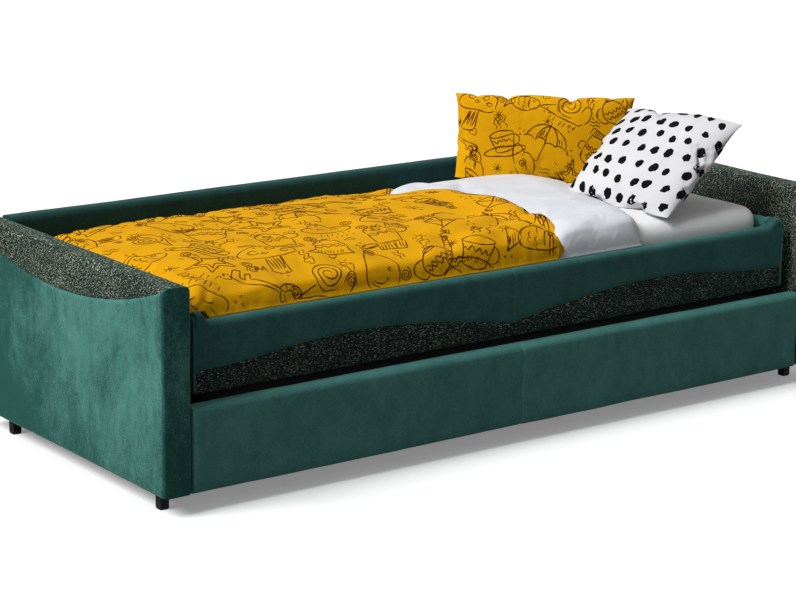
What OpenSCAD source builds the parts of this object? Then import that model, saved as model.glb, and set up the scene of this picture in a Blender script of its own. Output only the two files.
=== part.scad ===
// Single sofa bed: two padded arms and a padded back round a boxed bed, with a guest bed on castors
// that rolls out from under it. X runs along the bed, -Y is the front and Z = 0 is the floor.
// The origin lies on the floor under the middle of the sofa bed. All sizes are in millimetres.

/* [Mattress] */
// Length of both mattresses
mattress_len = 1900; // [1800:10:2000]
// Width of the upper mattress
mattress_wid = 800; // [750:10:900]
// Thickness of the upper mattress with its fitted sheet
mattress_t = 191; // [175:1:198]
// Height of the upper mattress above the floor, at its crown
mattress_top = 526; // [515:1:535]
// Radius round the upper and lower edges of the mattress
mattress_edge_r = 45; // [20:1:60]
// Radius of the mattress's upright corners
mattress_corner_r = 60; // [50:1:90]
// Rise of the crown above the mattress's edges
mattress_crown = 12; // [4:1:16]
// How far the sides are drawn in between the corners
mattress_draw = 5; // [0:1:10]
// Thickness of the fitted sheet
sheet_t = 2; // [1:0.5:4]
// Free space between the mattress and each end board
end_gap = 2; // [1:1:8]
// Free space between the mattress and the front rail
front_gap = 1; // [0.5:0.5:4]
// Free space between the mattress and the back
back_gap = 2; // [1:1:8]

/* [Arms] */
// Thickness of an arm
arm_t = 80; // [70:1:110]
// Height of the arms above the floor
arm_top = 570; // [550:1:600]
// Free height under the arms and the back
under_h = 53; // [50:1:60]
// Radius along the arm's top edges
arm_edge_r = 20; // [10:1:26]
// Radius of the arm's upright edges and of its lower edges
arm_side_r = 8; // [7:0.5:10]
// Depth of the velvet strip that closes the arm's front and back
strip_t = 9; // [8:0.5:12]
// Height of the lowest point of the curved seam on the outside
smile_low = 472; // [440:1:500]
// Radius of the curved seam
smile_r = 1470; // [1300:10:1700]
// Place of the seam's lowest point, behind the middle of the arm
smile_back = 40; // [0:1:60]

/* [Back] */
// Thickness of the back
back_t = 60; // [50:1:80]
// Height of the back above the floor
back_top = 573; // [550:1:610]
// Radius along the back's top edges
back_edge_r = 18; // [10:1:22]

/* [Padding and frames] */
// Thickness of a cover with its wadding
cover_t = 6; // [4:0.5:7]
// Thickness of the hardboard that closes a frame
panel_t = 3; // [2:0.5:4]
// Width of the timber rails and studs in the arms and the back
timber_w = 40; // [35:1:48]
// Number of studs between two rails of an arm
arm_studs_n = 5; // [5:1:6]
// Number of studs between two rails of the back
back_studs_n = 9; // [9:1:11]
// Radius of the rods that join the frames
rod_r = 4; // [3:0.5:5]

/* [Bed box] */
// Thickness of the front rail and the end boards of the box
rim_t = 37; // [32:1:45]
// Height of the top of the front rail above the floor
box_top = 462; // [450:1:475]
// Height of the underside of the box above the floor
box_low = 285; // [280:1:290]
// How far the front rail lies behind the front of the arms
box_setback = 45; // [30:1:60]
// Space between the box and each arm
arm_gap = 36; // [30:1:50]
// How much higher the end boards stand than the front rail
end_rise = 18; // [8:1:20]
// Length over which the front rail's ends sweep up to the end boards
rise_run = 26; // [20:1:40]
// Radius of the front rail's outer top corners
box_corner_r = 22; // [12:1:26]
// Radius along the top edges of the front rail
lip_r = 12; // [6:1:14]
// Radius along the top edges of the end boards
end_edge_r = 15; // [6:1:15.5]
// Radius of the box's lower and upright edges
box_side_r = 5; // [2:0.5:5.5]
// Height of the two crests of the wave seam above the box's underside
wave_crest = 89; // [70:1:100]
// Height of the cusp in the middle of the wave seam above the box's underside
wave_cusp = 35; // [25:1:50]
// Height of the ends of the wave seam above the box's underside
wave_end = 57; // [40:1:65]
// Distance of each crest from the middle
wave_crest_x = 520; // [400:10:600]
// Radius of the welt at the box's front corners
welt_r = 3; // [2:0.5:4]

/* [Slatted base] */
// Number of sprung slats under the upper mattress
slats_n = 14; // [10:1:16]
// Width of a sprung slat
slat_w = 53; // [45:1:60]
// Thickness of a sprung slat
slat_t = 8; // [6:0.5:10]
// Rise of a sprung slat's middle above its ends
slat_bow = 10; // [5:1:12]
// Length of a slat holder
holder_len = 38; // [30:1:45]
// Wall of a slat holder
holder_wall = 3; // [2:0.5:4]
// Free height inside a slat holder above the slat
holder_play = 3; // [2.5:0.5:4]
// Depth of the timber battens that carry the slat holders
batten_d = 25; // [20:1:30]
// Thickness of the rear rail
rear_rail_t = 25; // [20:1:30]
// Height of the rear rail
rear_rail_h = 46; // [40:1:47]

/* [Brackets] */
// Thickness of the steel brackets that hang the box on the arms
plate_t = 3; // [2:0.5:4]
// Width of a bracket
bracket_w = 40; // [30:1:50]
// Height of a bracket's upright leaf
bracket_h = 60; // [50:1:70]
// Height of the bracket's inner lip
bracket_lip = 10; // [5:1:11]
// Distance of a bracket's middle from the box's front and rear ends
bracket_inset = 30; // [25:1:50]
// Radius of a bolt's head
head_r = 6.5; // [5.5:0.5:8]
// Height of a bolt's head
head_h = 5; // [3:0.5:6]
// Depth that a bolt reaches into its timber
bolt_in = 28; // [20:1:32]

/* [Guest bed front] */
// Height of the guest bed's front above the floor
trundle_top = 267; // [260:1:272]
// Free height under the guest bed's front
trundle_low = 51; // [48:1:58]
// Thickness of the guest bed's front
trundle_front_t = 48; // [44:1:55]
// Space between the guest bed's front and each arm
trundle_gap = 5; // [3:1:10]
// Radius along the top edges of the guest bed's front
trundle_lip_r = 16; // [10:1:20]

/* [Guest bed frame] */
// Thickness of the guest bed's side rails
side_rail_t = 30; // [25:1:32]
// Thickness of the guest bed's front and rear rails
cross_rail_t = 25; // [20:1:30]
// Height of the underside of the rails above the floor
rail_low = 62; // [60:1:66]
// Height of the rails
rail_h = 88; // [80:1:90]
// Space between a side rail and the arm beside it
rail_gap = 20; // [15:1:30]
// Space between the rear rail and the back
rear_gap = 18; // [10:1:30]
// Number of flat slats under the guest mattress
guest_slats_n = 12; // [8:1:14]
// Width of a flat slat
guest_slat_w = 68; // [60:1:80]
// Thickness of a flat slat
guest_slat_t = 10; // [8:1:12]
// Free space between the guest mattress and the rear ends of its slats
guest_rear_gap = 35; // [20:1:80]
// Thickness of the guest mattress
guest_t = 100; // [90:1:103]
// Radius along the guest mattress's edges
guest_edge_r = 22; // [15:1:30]
// Length of a corner bracket's leaf
corner_leaf = 40; // [30:1:45]
// Height of a corner bracket
corner_h = 60; // [50:1:70]
// Length of the blocks that guide the guest bed between the arms
guide_len = 60; // [40:1:80]
// Height of the guide blocks
guide_h = 40; // [30:1:60]
// Radius of a guide block's nose
guide_r = 8; // [4:1:12]
// Distance of a guide block's middle from the ends of its side rail
guide_inset = 50; // [40:1:80]

/* [Castors] */
// Radius of a castor wheel
wheel_r = 25; // [22:0.5:26]
// Width of a castor wheel
wheel_w = 18; // [14:1:18]
// Radius of the wheel's tread edges
wheel_edge_r = 3; // [1:0.5:4]
// Depth of the ring-shaped recess in each side of a wheel
wheel_dish = 3; // [1:0.5:4]
// Radius of a castor's axle
axle_r = 4; // [3:0.5:5]
// Running clearance round the axle, on the radius
axle_play = 0.05; // [0.03:0.01:0.1]
// Free space between a wheel and each fork cheek
cheek_gap = 1; // [0.6:0.1:2]
// Thickness of the fork
fork_t = 2.5; // [2:0.5:3]
// Width of a fork cheek where it meets the plate
cheek_w = 36; // [30:1:44]
// Length of a castor's plate
castor_plate_l = 70; // [60:1:80]
// Distance of a castor's axle from the ends of its side rail
castor_inset = 150; // [45:1:200]

/* [Feet] */
// Side of a square foot
foot_w = 25; // [20:1:30]
// Distance of a foot from the arm's outer face
foot_out = 33; // [20:1:36]
// Distance of the front feet from the arm's front
foot_front = 69; // [40:1:90]
// Distance of the rear feet from the arm's back
foot_rear = 102; // [40:1:120]
// Thickness of the glide under a foot
glide_t = 3; // [2:0.5:5]
// Radius of a foot's upright edges
foot_edge_r = 2; // [1:0.5:3]

/* [Duvet and quilt] */
// Thickness of the duvet away from its edges
duvet_t = 21; // [15:1:32]
// Thickness of the quilt away from its edges
quilt_t = 24; // [18:1:30]
// Thickness of the quilt where the pillows press it
quilt_pressed_t = 15; // [10:1:18]
// Thickness of both at their edges
hem_t = 5; // [4:0.5:8]
// Height of the folds in the duvet
fold_h = 4; // [0:0.5:8]
// Distance between two folds
fold_len = 330; // [250:10:450]
// Distance over which the duvet rounds down at the front and at its left end
front_roll = 58; // [40:1:80]
// Distance over which the duvet slopes down towards the back
rear_roll = 170; // [80:1:200]
// Distance over which the duvet and the quilt round down where they meet, and at the quilt's end
hem_roll = 45; // [30:1:60]
// How far the duvet's left end lies beyond the mattress, over the end board
duvet_over = 38; // [30:1:50]
// How far both bulge over the front rail
front_over = 12.5; // [8:0.5:20]
// Distance of the rear edges from the mattress's rear edge
duvet_rear = 14; // [13.5:0.5:20]
// Place of the furthest point of the duvet's curved right end, from the middle
hem_tip_x = 270; // [200:5:350]
// Place of that point in front of the middle
hem_tip_y = 120; // [0:5:200]
// Bow of the curved end: distance squared over sweep
hem_bow = 800; // [600:10:1200]
// Place behind the middle where the curved end flares out again towards the back
hem_turn_y = 250; // [200:5:300]
// Flare of the curved end beyond that place, per unit of length
hem_flare_share = 1.9; // [1:0.1:2.2]
// Place of the quilt's right end at the front
quilt_end_x = 470; // [420:5:520]
// Sweep of the quilt's right end towards the back, per unit of length
quilt_sweep_share = 0.33; // [0.1:0.01:0.4]

/* [Pillows] */
// Width of the printed pillow
print_wid = 530; // [450:5:550]
// Height of the printed pillow
print_high = 270; // [250:1:290]
// Thickness of the printed pillow
print_t = 104; // [70:1:110]
// Width of the dotted pillow
dotted_wid = 392; // [350:1:400]
// Height of the dotted pillow
dotted_high = 374; // [340:1:385]
// Thickness of the dotted pillow
dotted_t = 108; // [70:1:112]
// How far the dotted pillow's upper left corner sinks
slump = 52; // [20:1:60]
// How far that corner is pushed forward by the pillow behind it
slump_out = 16; // [0:1:30]
// How far a pillow's sides are drawn in between its corners, as a share of its half width
side_draw_share = 0.045; // [0.02:0.005:0.08]
// Fullness of a pillow's faces: 0.5 is a round crown, and less is fuller towards the seam
crown_share = 0.42; // [0.35:0.01:0.5]

/* [Hidden] */
$fn = 48;

// Clearance of parts that rest on or beside each other
fit = 0.3;
// Overrun of a cut
over = 1;
// Least radius that an inner edge keeps
least_r = 1;
// Steps along a drawn curve
curve_n = 12;

// Main lines along X, worked out from the mattress
box_in = mattress_len / 2 + end_gap;
box_out = box_in + rim_t;
arm_in = box_out + arm_gap;
arm_out = arm_in + arm_t;
// Main lines along Y
depth = box_setback + rim_t + front_gap + mattress_wid + back_gap + back_t;
front_y = -depth / 2;
rear_y = depth / 2;
box_front = front_y + box_setback;
rail_in = box_front + rim_t;
back_in = rear_y - back_t;
mattress_front = rail_in + front_gap;
mattress_rear = mattress_front + mattress_wid;
// Heights
arm_h = arm_top - under_h;
back_h = back_top - under_h;
box_h = box_top - box_low;
end_h = box_h + end_rise;
end_len = back_in - fit - rail_in;
mattress_low = mattress_top - mattress_t;
// Frames inside the arms and the back
core_in = cover_t + panel_t;
core_end = arm_side_r + fit;
arm_low = under_h + core_end;
arm_high = arm_top - cover_t - fit;
back_high = back_top - cover_t - fit;
bracket_z = box_low - plate_t - bracket_h / 2;
arm_rail_z = [arm_low, bracket_z - timber_w / 2, (bracket_z + arm_high) / 2 - timber_w * 3 / 4,
    arm_high - timber_w];
back_rail_z = [arm_low, (arm_low + back_high - timber_w) / 2, back_high - timber_w];
back_half = arm_in - fit;
// Slatted base
slat_seat = mattress_low - fit - slat_t - slat_bow;
batten_top = slat_seat - holder_wall;
rear_rail_y = back_in - fit - rear_rail_t;
slat_front = rail_in + fit + holder_wall;
slat_rear = rear_rail_y - fit - holder_wall;
slat_span = slat_rear - slat_front;
slat_pitch = 2 * (box_in - slat_w) / slats_n;
holder_w = slat_w + 2 * holder_wall + 2 * fit;
holder_h = slat_t + holder_play + 2 * holder_wall;
// Guest bed
trundle_half = arm_in - trundle_gap;
trundle_h = trundle_top - trundle_low;
trundle_back_face = front_y + trundle_front_t;
trundle_rear = back_in - rear_gap;
rail_out_x = arm_in - rail_gap;
rail_in_x = rail_out_x - side_rail_t;
rail_top = rail_low + rail_h;
guest_low = rail_top + guest_slat_t + fit;
guest_front = trundle_back_face + front_gap + fit + panel_t;
guest_wid = trundle_rear - guest_rear_gap - guest_front;
guest_slat_pitch = 2 * (rail_in_x - guest_slat_w) / (guest_slats_n - 1);
// Castors
castor_x = rail_out_x - side_rail_t / 2;
castor_front_y = trundle_back_face + castor_inset;
castor_rear_y = trundle_rear - castor_inset;
fork_in = wheel_w / 2 + cheek_gap;
fork_out = fork_in + fork_t;
// Feet
foot_x = arm_out - foot_out - foot_w / 2;
foot_front_y = front_y + foot_front + foot_w / 2;
foot_rear_y = rear_y - foot_rear - foot_w / 2;
// Bedding
crown_in = mattress_wid / 5;
lay_z = mattress_top + fit;
pressed_z = lay_z + quilt_pressed_t;
lay_rear = mattress_rear - duvet_rear;
lay_front = mattress_front - front_over;
lay_left = -mattress_len / 2 - duvet_over;

// Outline of a bar's end: a rectangle with its own radius on the upper and the lower corners
module rounded(size, high_r, low_r) {
    translate([0, low_r]) square([size.x, size.y - low_r - high_r]);
    translate([low_r, 0]) square([size.x - 2 * low_r, size.y / 2]);
    translate([high_r, size.y / 2]) square([size.x - 2 * high_r, size.y / 2]);
    for (x = [low_r, size.x - low_r]) translate([x, low_r]) circle(low_r);
    for (x = [high_r, size.x - high_r]) translate([x, size.y - high_r]) circle(high_r);
}

// Draws an outline of (Y, Z) along X
module along_x(length) {
    rotate([90, 0, 90]) linear_extrude(length) children();
}

// Draws an outline of (X, Z) along Y
module along_y(length) {
    translate([0, length, 0]) rotate([90, 0, 0]) linear_extrude(length) children();
}

// Padded slab that is thin across X, with rounded long edges and upright edges
module slab_y(size, high_r, low_r, side_r) {
    intersection() {
        along_y(size.y) rounded([size.x, size.z], high_r, low_r);
        linear_extrude(size.z) rounded([size.x, size.y], side_r, side_r);
    }
}

// Padded slab that is thin across Y, with rounded long edges and upright edges
module slab_x(size, high_r, low_r, side_r) {
    intersection() {
        along_x(size.x) rounded([size.y, size.z], high_r, low_r);
        linear_extrude(size.z) rounded([size.x, size.y], side_r, side_r);
    }
}

// Box given by its lowest and highest corners
module span(low, high) {
    translate(low) cube(high - low);
}

module left() {
    mirror([1, 0, 0]) children();
}

module both() {
    children();
    left() children();
}

function inner(radius, inset) = max(radius - inset, least_r);

// Arm: the right one is drawn, and the left one is its mirror image
module arm_form(inset) {
    translate([arm_in + inset, front_y + inset, under_h + inset])
        slab_y([arm_t - 2 * inset, depth - 2 * inset, arm_h - 2 * inset],
            inner(arm_edge_r, inset), inner(arm_side_r, inset), inner(arm_side_r, inset));
}

module arm_shell() {
    difference() {
        arm_form(0);
        arm_form(cover_t);
    }
}

// Space of the tweed: the inner face, the top, and outside all that lies above the curved seam
module tweed_space() {
    intersection() {
        union() {
            span([arm_in - over, front_y, under_h + arm_side_r], [arm_in + cover_t, rear_y, arm_top]);
            translate([arm_in - over, smile_back, smile_low + smile_r]) rotate([0, 90, 0])
                cylinder(r = smile_r, h = arm_t + 2 * over, $fn = 200);
        }
        span([arm_in - over, front_y + strip_t, under_h],
            [arm_out + over, rear_y - strip_t, arm_top + over]);
    }
}

module arm_timber(y_low, y_high, z_low, z_high) {
    intersection() {
        arm_form(cover_t + fit);
        span([arm_in + core_in, y_low, z_low], [arm_out - core_in, y_high, z_high]);
    }
}

module arm_rails() {
    difference() {
        for (z = arm_rail_z) arm_timber(front_y + core_end, rear_y - core_end, z, z + timber_w);
        bracket_bolt_shafts(rod_r);
        back_rod_shafts(rod_r);
        foot_bolt_shafts(rod_r);
    }
}

module arm_studs() {
    first = front_y + core_end;
    pitch = (depth - 2 * core_end - timber_w) / (arm_studs_n - 1);
    for (k = [1 : len(arm_rail_z) - 1], s = [0 : arm_studs_n - 1]) let (y = first + s * pitch)
        arm_timber(y, y + timber_w, arm_rail_z[k - 1] + timber_w, arm_rail_z[k]);
}

module arm_panels() {
    difference() {
        for (x = [arm_in + cover_t, arm_out - core_in])
            span([x, front_y + core_end, under_h + core_end],
                [x + panel_t, rear_y - core_end, arm_top - arm_edge_r]);
        bracket_bolt_shafts(rod_r + fit);
        back_rod_shafts(rod_r + fit);
    }
}

module arm_velvet() {
    color("#1f5a55") difference() {
        arm_shell();
        tweed_space();
        foot_bolt_shafts(rod_r + fit);
    }
}

module arm_tweed() {
    color("#2d3a36") difference() {
        intersection() {
            arm_shell();
            tweed_space();
        }
        bracket_bolt_shafts(rod_r + fit);
        back_rod_shafts(rod_r + fit);
    }
}

module right_arm_rails() { color("#c9a36b") arm_rails(); }
module right_arm_studs() { color("#c9a36b") arm_studs(); }
module right_arm_panels() { color("#8a6238") arm_panels(); }
module right_arm_velvet_cover() { arm_velvet(); }
module right_arm_tweed_cover() { arm_tweed(); }
module left_arm_rails() { left() right_arm_rails(); }
module left_arm_studs() { left() right_arm_studs(); }
module left_arm_panels() { left() right_arm_panels(); }
module left_arm_velvet_cover() { left() arm_velvet(); }
module left_arm_tweed_cover() { left() arm_tweed(); }

// Back, which stands between the arms
module back_form(inset) {
    translate([-back_half + inset, back_in + inset, under_h + inset])
        slab_x([2 * (back_half - inset), back_t - 2 * inset, back_h - 2 * inset],
            inner(back_edge_r, inset), inner(arm_side_r, inset), inner(arm_side_r, inset));
}

module back_timber(x_low, x_high, z_low, z_high) {
    intersection() {
        back_form(cover_t + fit);
        span([x_low, back_in + core_in, z_low], [x_high, rear_y - core_in, z_high]);
    }
}

module back_rails() {
    color("#c9a36b") difference() {
        for (z = back_rail_z) back_timber(core_end - back_half, back_half - core_end, z, z + timber_w);
        both() back_rod_shafts(rod_r);
    }
}

module back_studs() {
    first = core_end - back_half;
    pitch = (-2 * first - timber_w) / (back_studs_n - 1);
    color("#c9a36b") for (k = [1 : len(back_rail_z) - 1], s = [0 : back_studs_n - 1])
        let (x = first + s * pitch)
            back_timber(x, x + timber_w, back_rail_z[k - 1] + timber_w, back_rail_z[k]);
}

module back_panels() {
    half = back_half - core_end;
    color("#8a6238") for (y = [back_in + cover_t, rear_y - core_in])
        span([-half, y, under_h + core_end], [half, y + panel_t, back_top - back_edge_r]);
}

module back_cover() {
    color("#1f5a55") difference() {
        back_form(0);
        back_form(cover_t);
        both() back_rod_shafts(rod_r + fit);
    }
}

// Rods that join each arm to the back, through the ends of the back's rails
module back_rod_shafts(radius) {
    for (z = [arm_low, arm_high - timber_w])
        translate([arm_in - timber_w, (back_in + rear_y) / 2, z + timber_w / 2]) rotate([0, 90, 0])
            cylinder(r = radius, h = timber_w + core_in + bolt_in);
}

module back_joint_rods() { color("silver") both() back_rod_shafts(rod_r); }

// Feet
module at_feet() {
    for (x = [-foot_x, foot_x], y = [foot_front_y, foot_rear_y]) translate([x, y, 0]) children();
}

module foot_bolt_shafts(radius) {
    at_feet() translate([0, 0, under_h / 2]) cylinder(r = radius, h = under_h / 2 + cover_t + bolt_in);
}

module foot_bolts() { color("silver") foot_bolt_shafts(rod_r); }

module feet() {
    color("#161616") difference() {
        at_feet() translate([-foot_w / 2, -foot_w / 2, glide_t]) linear_extrude(under_h - glide_t)
            rounded([foot_w, foot_w], foot_edge_r, foot_edge_r);
        foot_bolt_shafts(rod_r);
    }
}

module foot_glides() {
    glide_w = foot_w - foot_edge_r;
    color("#303030") at_feet() translate([-glide_w / 2, -glide_w / 2, 0]) linear_extrude(glide_t)
        rounded([glide_w, glide_w], foot_edge_r, foot_edge_r);
}

// Front rail of the box, whose ends sweep up to the end boards
module front_form(inset) {
    translate([-box_out + inset, box_front + inset, box_low + inset])
        slab_x([2 * (box_out - inset), rim_t - 2 * inset, box_h - 2 * inset],
            inner(lip_r, inset), inner(box_side_r, inset), inner(box_side_r, inset));
}

module raised_end() {
    start = box_out - rim_t - rise_run / 2;
    high = box_top + end_rise;
    sweep = [for (k = [0 : curve_n]) [start + rise_run * k / curve_n,
        box_top + end_rise * (1 - cos(180 * k / curve_n)) / 2]];
    corner = [for (k = [0 : curve_n]) [box_out - box_corner_r * (1 - sin(90 * k / curve_n)),
        high - box_corner_r * (1 - cos(90 * k / curve_n))]];
    foot = [[box_out, box_top - lip_r - box_side_r], [start, box_top - lip_r - box_side_r]];
    intersection() {
        translate([0, box_front, 0]) along_y(rim_t) polygon(concat(sweep, corner, foot));
        translate([0, box_front, box_low]) along_x(box_out + over)
            rounded([rim_t, end_h], end_edge_r, box_side_r);
    }
}

module front_cover() {
    difference() {
        union() {
            front_form(0);
            both() raised_end();
        }
        front_form(cover_t);
        welts(welt_r + fit);
        both() front_rod_shafts(rod_r + fit);
    }
}

// Height of the wave seam: a rise from the cusp to a crest, and a swell down from there to the end
function wave(x) = let (a = abs(x), s = (a - wave_crest_x) / (box_out - wave_crest_x))
    box_low + (a < wave_crest_x
        ? wave_cusp + (wave_crest - wave_cusp) * sin(90 * a / wave_crest_x)
        : wave_end + (wave_crest - wave_end) * (1 + cos(180 * s)) / 2);

// Space of the tweed below the wave seam
module wave_space() {
    steps = 2 * curve_n;
    seam = [for (k = [-steps : steps]) let (x = box_out * k / steps) [x, wave(x)]];
    low = box_low - over;
    translate([0, box_front - over, 0]) along_y(rim_t + 2 * over)
        polygon(concat([[-box_out - over, low], [-box_out - over, wave(box_out)]], seam,
            [[box_out + over, wave(box_out)], [box_out + over, low]]));
}

module box_front_board() {
    color("#c9a36b") difference() {
        front_form(cover_t + fit);
        both() front_rod_shafts(rod_r);
    }
}

module box_front_velvet() {
    color("#1f5a55") difference() {
        front_cover();
        wave_space();
    }
}

module box_front_tweed() {
    color("#2d3a36") intersection() {
        front_cover();
        wave_space();
    }
}

// Welts along the box's front corners, sunk by half into the covers
module welts(radius) {
    both() translate([box_out - least_r, box_front + least_r, box_low + box_side_r])
        cylinder(r = radius, h = box_h - box_side_r - lip_r);
}

module box_corner_welts() { color("#3f7d74") welts(welt_r); }

// End boards of the box
module end_form(inset) {
    translate([box_in + inset, rail_in + inset, box_low + inset])
        slab_y([rim_t - 2 * inset, end_len - 2 * inset, end_h - 2 * inset],
            inner(end_edge_r, inset), inner(box_side_r, inset), inner(box_side_r, inset));
}

module end_board() {
    color("#c9a36b") difference() {
        end_form(cover_t + fit);
        front_rod_shafts(rod_r);
        rear_rod_shafts(rod_r);
    }
}

module end_cover() {
    color("#1f5a55") difference() {
        end_form(0);
        end_form(cover_t);
        front_rod_shafts(rod_r + fit);
        rear_rod_shafts(rod_r + fit);
    }
}

module box_right_end_board() { end_board(); }
module box_right_end_cover() { end_cover(); }
module box_left_end_board() { left() end_board(); }
module box_left_end_cover() { left() end_cover(); }

// Rods from the front rail and the rear rail into the end boards
module front_rod_shafts(radius) {
    for (z = [box_low + timber_w, box_top - timber_w])
        translate([box_in + rim_t / 2, rail_in - rim_t / 2, z]) rotate([-90, 0, 0])
            cylinder(r = radius, h = rim_t / 2 + cover_t + bolt_in);
}

module rear_rod_shafts(radius) {
    translate([box_in - timber_w, rear_rail_y + rear_rail_t / 2, box_low + rear_rail_h / 2])
        rotate([0, 90, 0]) cylinder(r = radius, h = timber_w + cover_t + rim_t / 3);
}

module box_joint_rods() {
    color("silver") both() {
        front_rod_shafts(rod_r);
        rear_rod_shafts(rod_r);
    }
}

module box_rear_rail() {
    color("#c9a36b") difference() {
        span([-box_in + fit, rear_rail_y, box_low],
            [box_in - fit, rear_rail_y + rear_rail_t, box_low + rear_rail_h]);
        both() rear_rod_shafts(rod_r);
    }
}

// Slatted base of the upper bed
module slat_battens() {
    color("#c9a36b") for (y = [rail_in, rear_rail_y - batten_d])
        span([-box_in + fit, y, box_low], [box_in - fit, y + batten_d, batten_top]);
}

module at_slats() {
    for (k = [0 : slats_n - 1]) translate([(k - (slats_n - 1) / 2) * slat_pitch, 0, 0]) children();
}

function slat_rise(s) = slat_bow * (1 - pow(2 * s - 1, 2));

module sprung_slats() {
    low = [for (k = [0 : curve_n]) [slat_span * k / curve_n, slat_rise(k / curve_n)]];
    high = [for (k = [curve_n : -1 : 0]) [slat_span * k / curve_n, slat_rise(k / curve_n) + slat_t]];
    color("#d9b27c") at_slats() translate([-slat_w / 2, slat_front, slat_seat])
        along_x(slat_w) polygon(concat(low, high));
}

// Holder with a closed outer end and a slot for the slat
module slat_holder() {
    difference() {
        span([-holder_w / 2, slat_front - holder_wall, batten_top],
            [holder_w / 2, slat_front - holder_wall + holder_len, batten_top + holder_h]);
        span([-slat_w / 2 - fit, slat_front, slat_seat],
            [slat_w / 2 + fit, slat_front + holder_len, slat_seat + slat_t + holder_play]);
    }
}

module slat_holders() {
    color("#202020") at_slats() {
        slat_holder();
        translate([0, slat_front + slat_rear, 0]) mirror([0, 1, 0]) slat_holder();
    }
}

// Steel brackets that hang the box on the arms
bracket_places = [rail_in + bracket_inset, back_in - bracket_inset];

module bracket_bolt_shafts(radius) {
    for (y = bracket_places, side = [-1, 1])
        translate([arm_in - plate_t - over, y + side * bracket_w / 4, bracket_z]) rotate([0, 90, 0])
            cylinder(r = radius, h = over + plate_t + core_in + bolt_in);
}

module box_brackets() {
    under = box_low - plate_t;
    leaf_x = arm_in - plate_t;
    lip_x = box_in + plate_t;
    profile = [[arm_in, box_low], [arm_in, under - bracket_h], [leaf_x, under - bracket_h], [leaf_x, under],
        [lip_x, under], [lip_x, under - bracket_lip], [box_in, under - bracket_lip], [box_in, box_low]];
    color("#3a3a3c") difference() {
        for (y = bracket_places) translate([0, y - bracket_w / 2, 0]) along_y(bracket_w) polygon(profile);
        bracket_bolt_shafts(rod_r);
    }
}

module right_box_brackets() { box_brackets(); }
module left_box_brackets() { left() box_brackets(); }

module bracket_bolts() {
    color("silver") both() {
        bracket_bolt_shafts(rod_r);
        for (y = bracket_places, side = [-1, 1])
            translate([arm_in - plate_t - head_h, y + side * bracket_w / 4, bracket_z]) rotate([0, 90, 0])
                cylinder(r = head_r, h = head_h);
    }
}

// Cushion block: rings of a rounded outline with drawn-in sides, stacked from the bottom to the crown.
// A ring is taken in by an inset; half is its half length and half width, and runs are steps per side.
function outline(half, radius, draw, runs) = let (
    c = [half.x - radius, half.y - radius],
    turn = [for (q = [0 : 3]) let (sx = (q == 0 || q == 3) ? 1 : -1, sy = q < 2 ? 1 : -1)
        [for (k = [0 : runs.z]) let (a = 90 * q + 90 * k / runs.z)
            [sx * c.x + radius * cos(a), sy * c.y + radius * sin(a)]]],
    loop = [for (q = [0 : 3]) let (n = q % 2 == 0 ? runs.x : runs.y,
        from = turn[q][runs.z], to = turn[(q + 1) % 4][0])
        concat(turn[q], [for (k = [1 : n - 1]) from + (to - from) * k / n])])
    [for (side = loop, p = side) [p.x * (1 - draw / half.x * (1 - pow(p.y / half.y, 2))),
        p.y * (1 - draw / half.y * (1 - pow(p.x / half.x, 2)))]];

// Insets of the upper rings, from the side to the crown
function upper_insets(edge_r, reach) = concat([for (k = [0 : 4]) edge_r * (1 - cos(90 * k / 4))],
    [for (k = [1 : 3]) edge_r + (reach - edge_r) * k / 3]);

// Height that a cushion of height t has at an inset
function cushion_z(inset, t, edge_r, crown, reach) = inset < edge_r
    ? t - crown - edge_r * (1 - sqrt(1 - pow(1 - max(inset, 0) / edge_r, 2)))
    : t - crown * pow(1 - min((inset - edge_r) / (reach - edge_r), 1), 2);

// Levels of the block as [inset, height]
function levels(t, edge_r, low_r, crown, reach) = concat(
    [for (k = [0 : 2]) [low_r * (1 - sin(90 * k / 2)), low_r * (1 - cos(90 * k / 2))]],
    [for (i = upper_insets(edge_r, reach)) [i, cushion_z(i, t, edge_r, crown, reach)]]);

module cushion_block(length, width, t, edge_r, low_r, corner_r, crown, draw, runs) {
    stack = levels(t, edge_r, low_r, crown, width / 5);
    rings = [for (l = stack) [for (p = outline([length / 2 - l[0], width / 2 - l[0]],
        max(corner_r - l[0], least_r), draw, runs)) [p.x, p.y, l[1]]]];
    n = len(rings[0]);
    m = len(rings);
    points = concat([for (r = rings, p = r) p], [[0, 0, 0], [0, 0, t]]);
    sides = [for (k = [0 : m - 2], i = [0 : n - 1]) let (j = (i + 1) % n, a = k * n, b = a + n)
        each [[a + i, b + i, b + j], [a + i, b + j, a + j]]];
    caps = [for (i = [0 : n - 1]) let (j = (i + 1) % n)
        each [[n * m, i, j], [n * m + 1, (m - 1) * n + j, (m - 1) * n + i]]];
    polyhedron(points, concat(sides, caps));
}

// Mattress under the fitted sheet, and the sheet that is drawn over it
module mattress_core(grow) {
    core = [mattress_len - 2 * sheet_t - 2 * mattress_draw + 2 * grow,
        mattress_wid - 2 * sheet_t - 2 * mattress_draw + 2 * grow,
        mattress_t - mattress_crown - sheet_t + grow];
    translate([-core.x / 2, (mattress_front + mattress_rear - core.y) / 2, mattress_low])
        intersection() {
            slab_x(core, mattress_edge_r, least_r, mattress_corner_r);
            slab_y(core, mattress_edge_r, least_r, mattress_corner_r);
        }
}

module mattress() { color("#e6e2da") mattress_core(0); }

module sheet_block() {
    translate([0, (mattress_front + mattress_rear) / 2, mattress_low])
        cushion_block(mattress_len, mattress_wid, mattress_t, mattress_edge_r, sheet_t, mattress_corner_r,
            mattress_crown, mattress_draw, [11, 5, 4]);
}

module fitted_sheet() {
    color("#c9cac9") difference() {
        sheet_block();
        mattress_core(fit);
        translate([0, 0, -over]) mattress_core(fit);
    }
}

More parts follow.
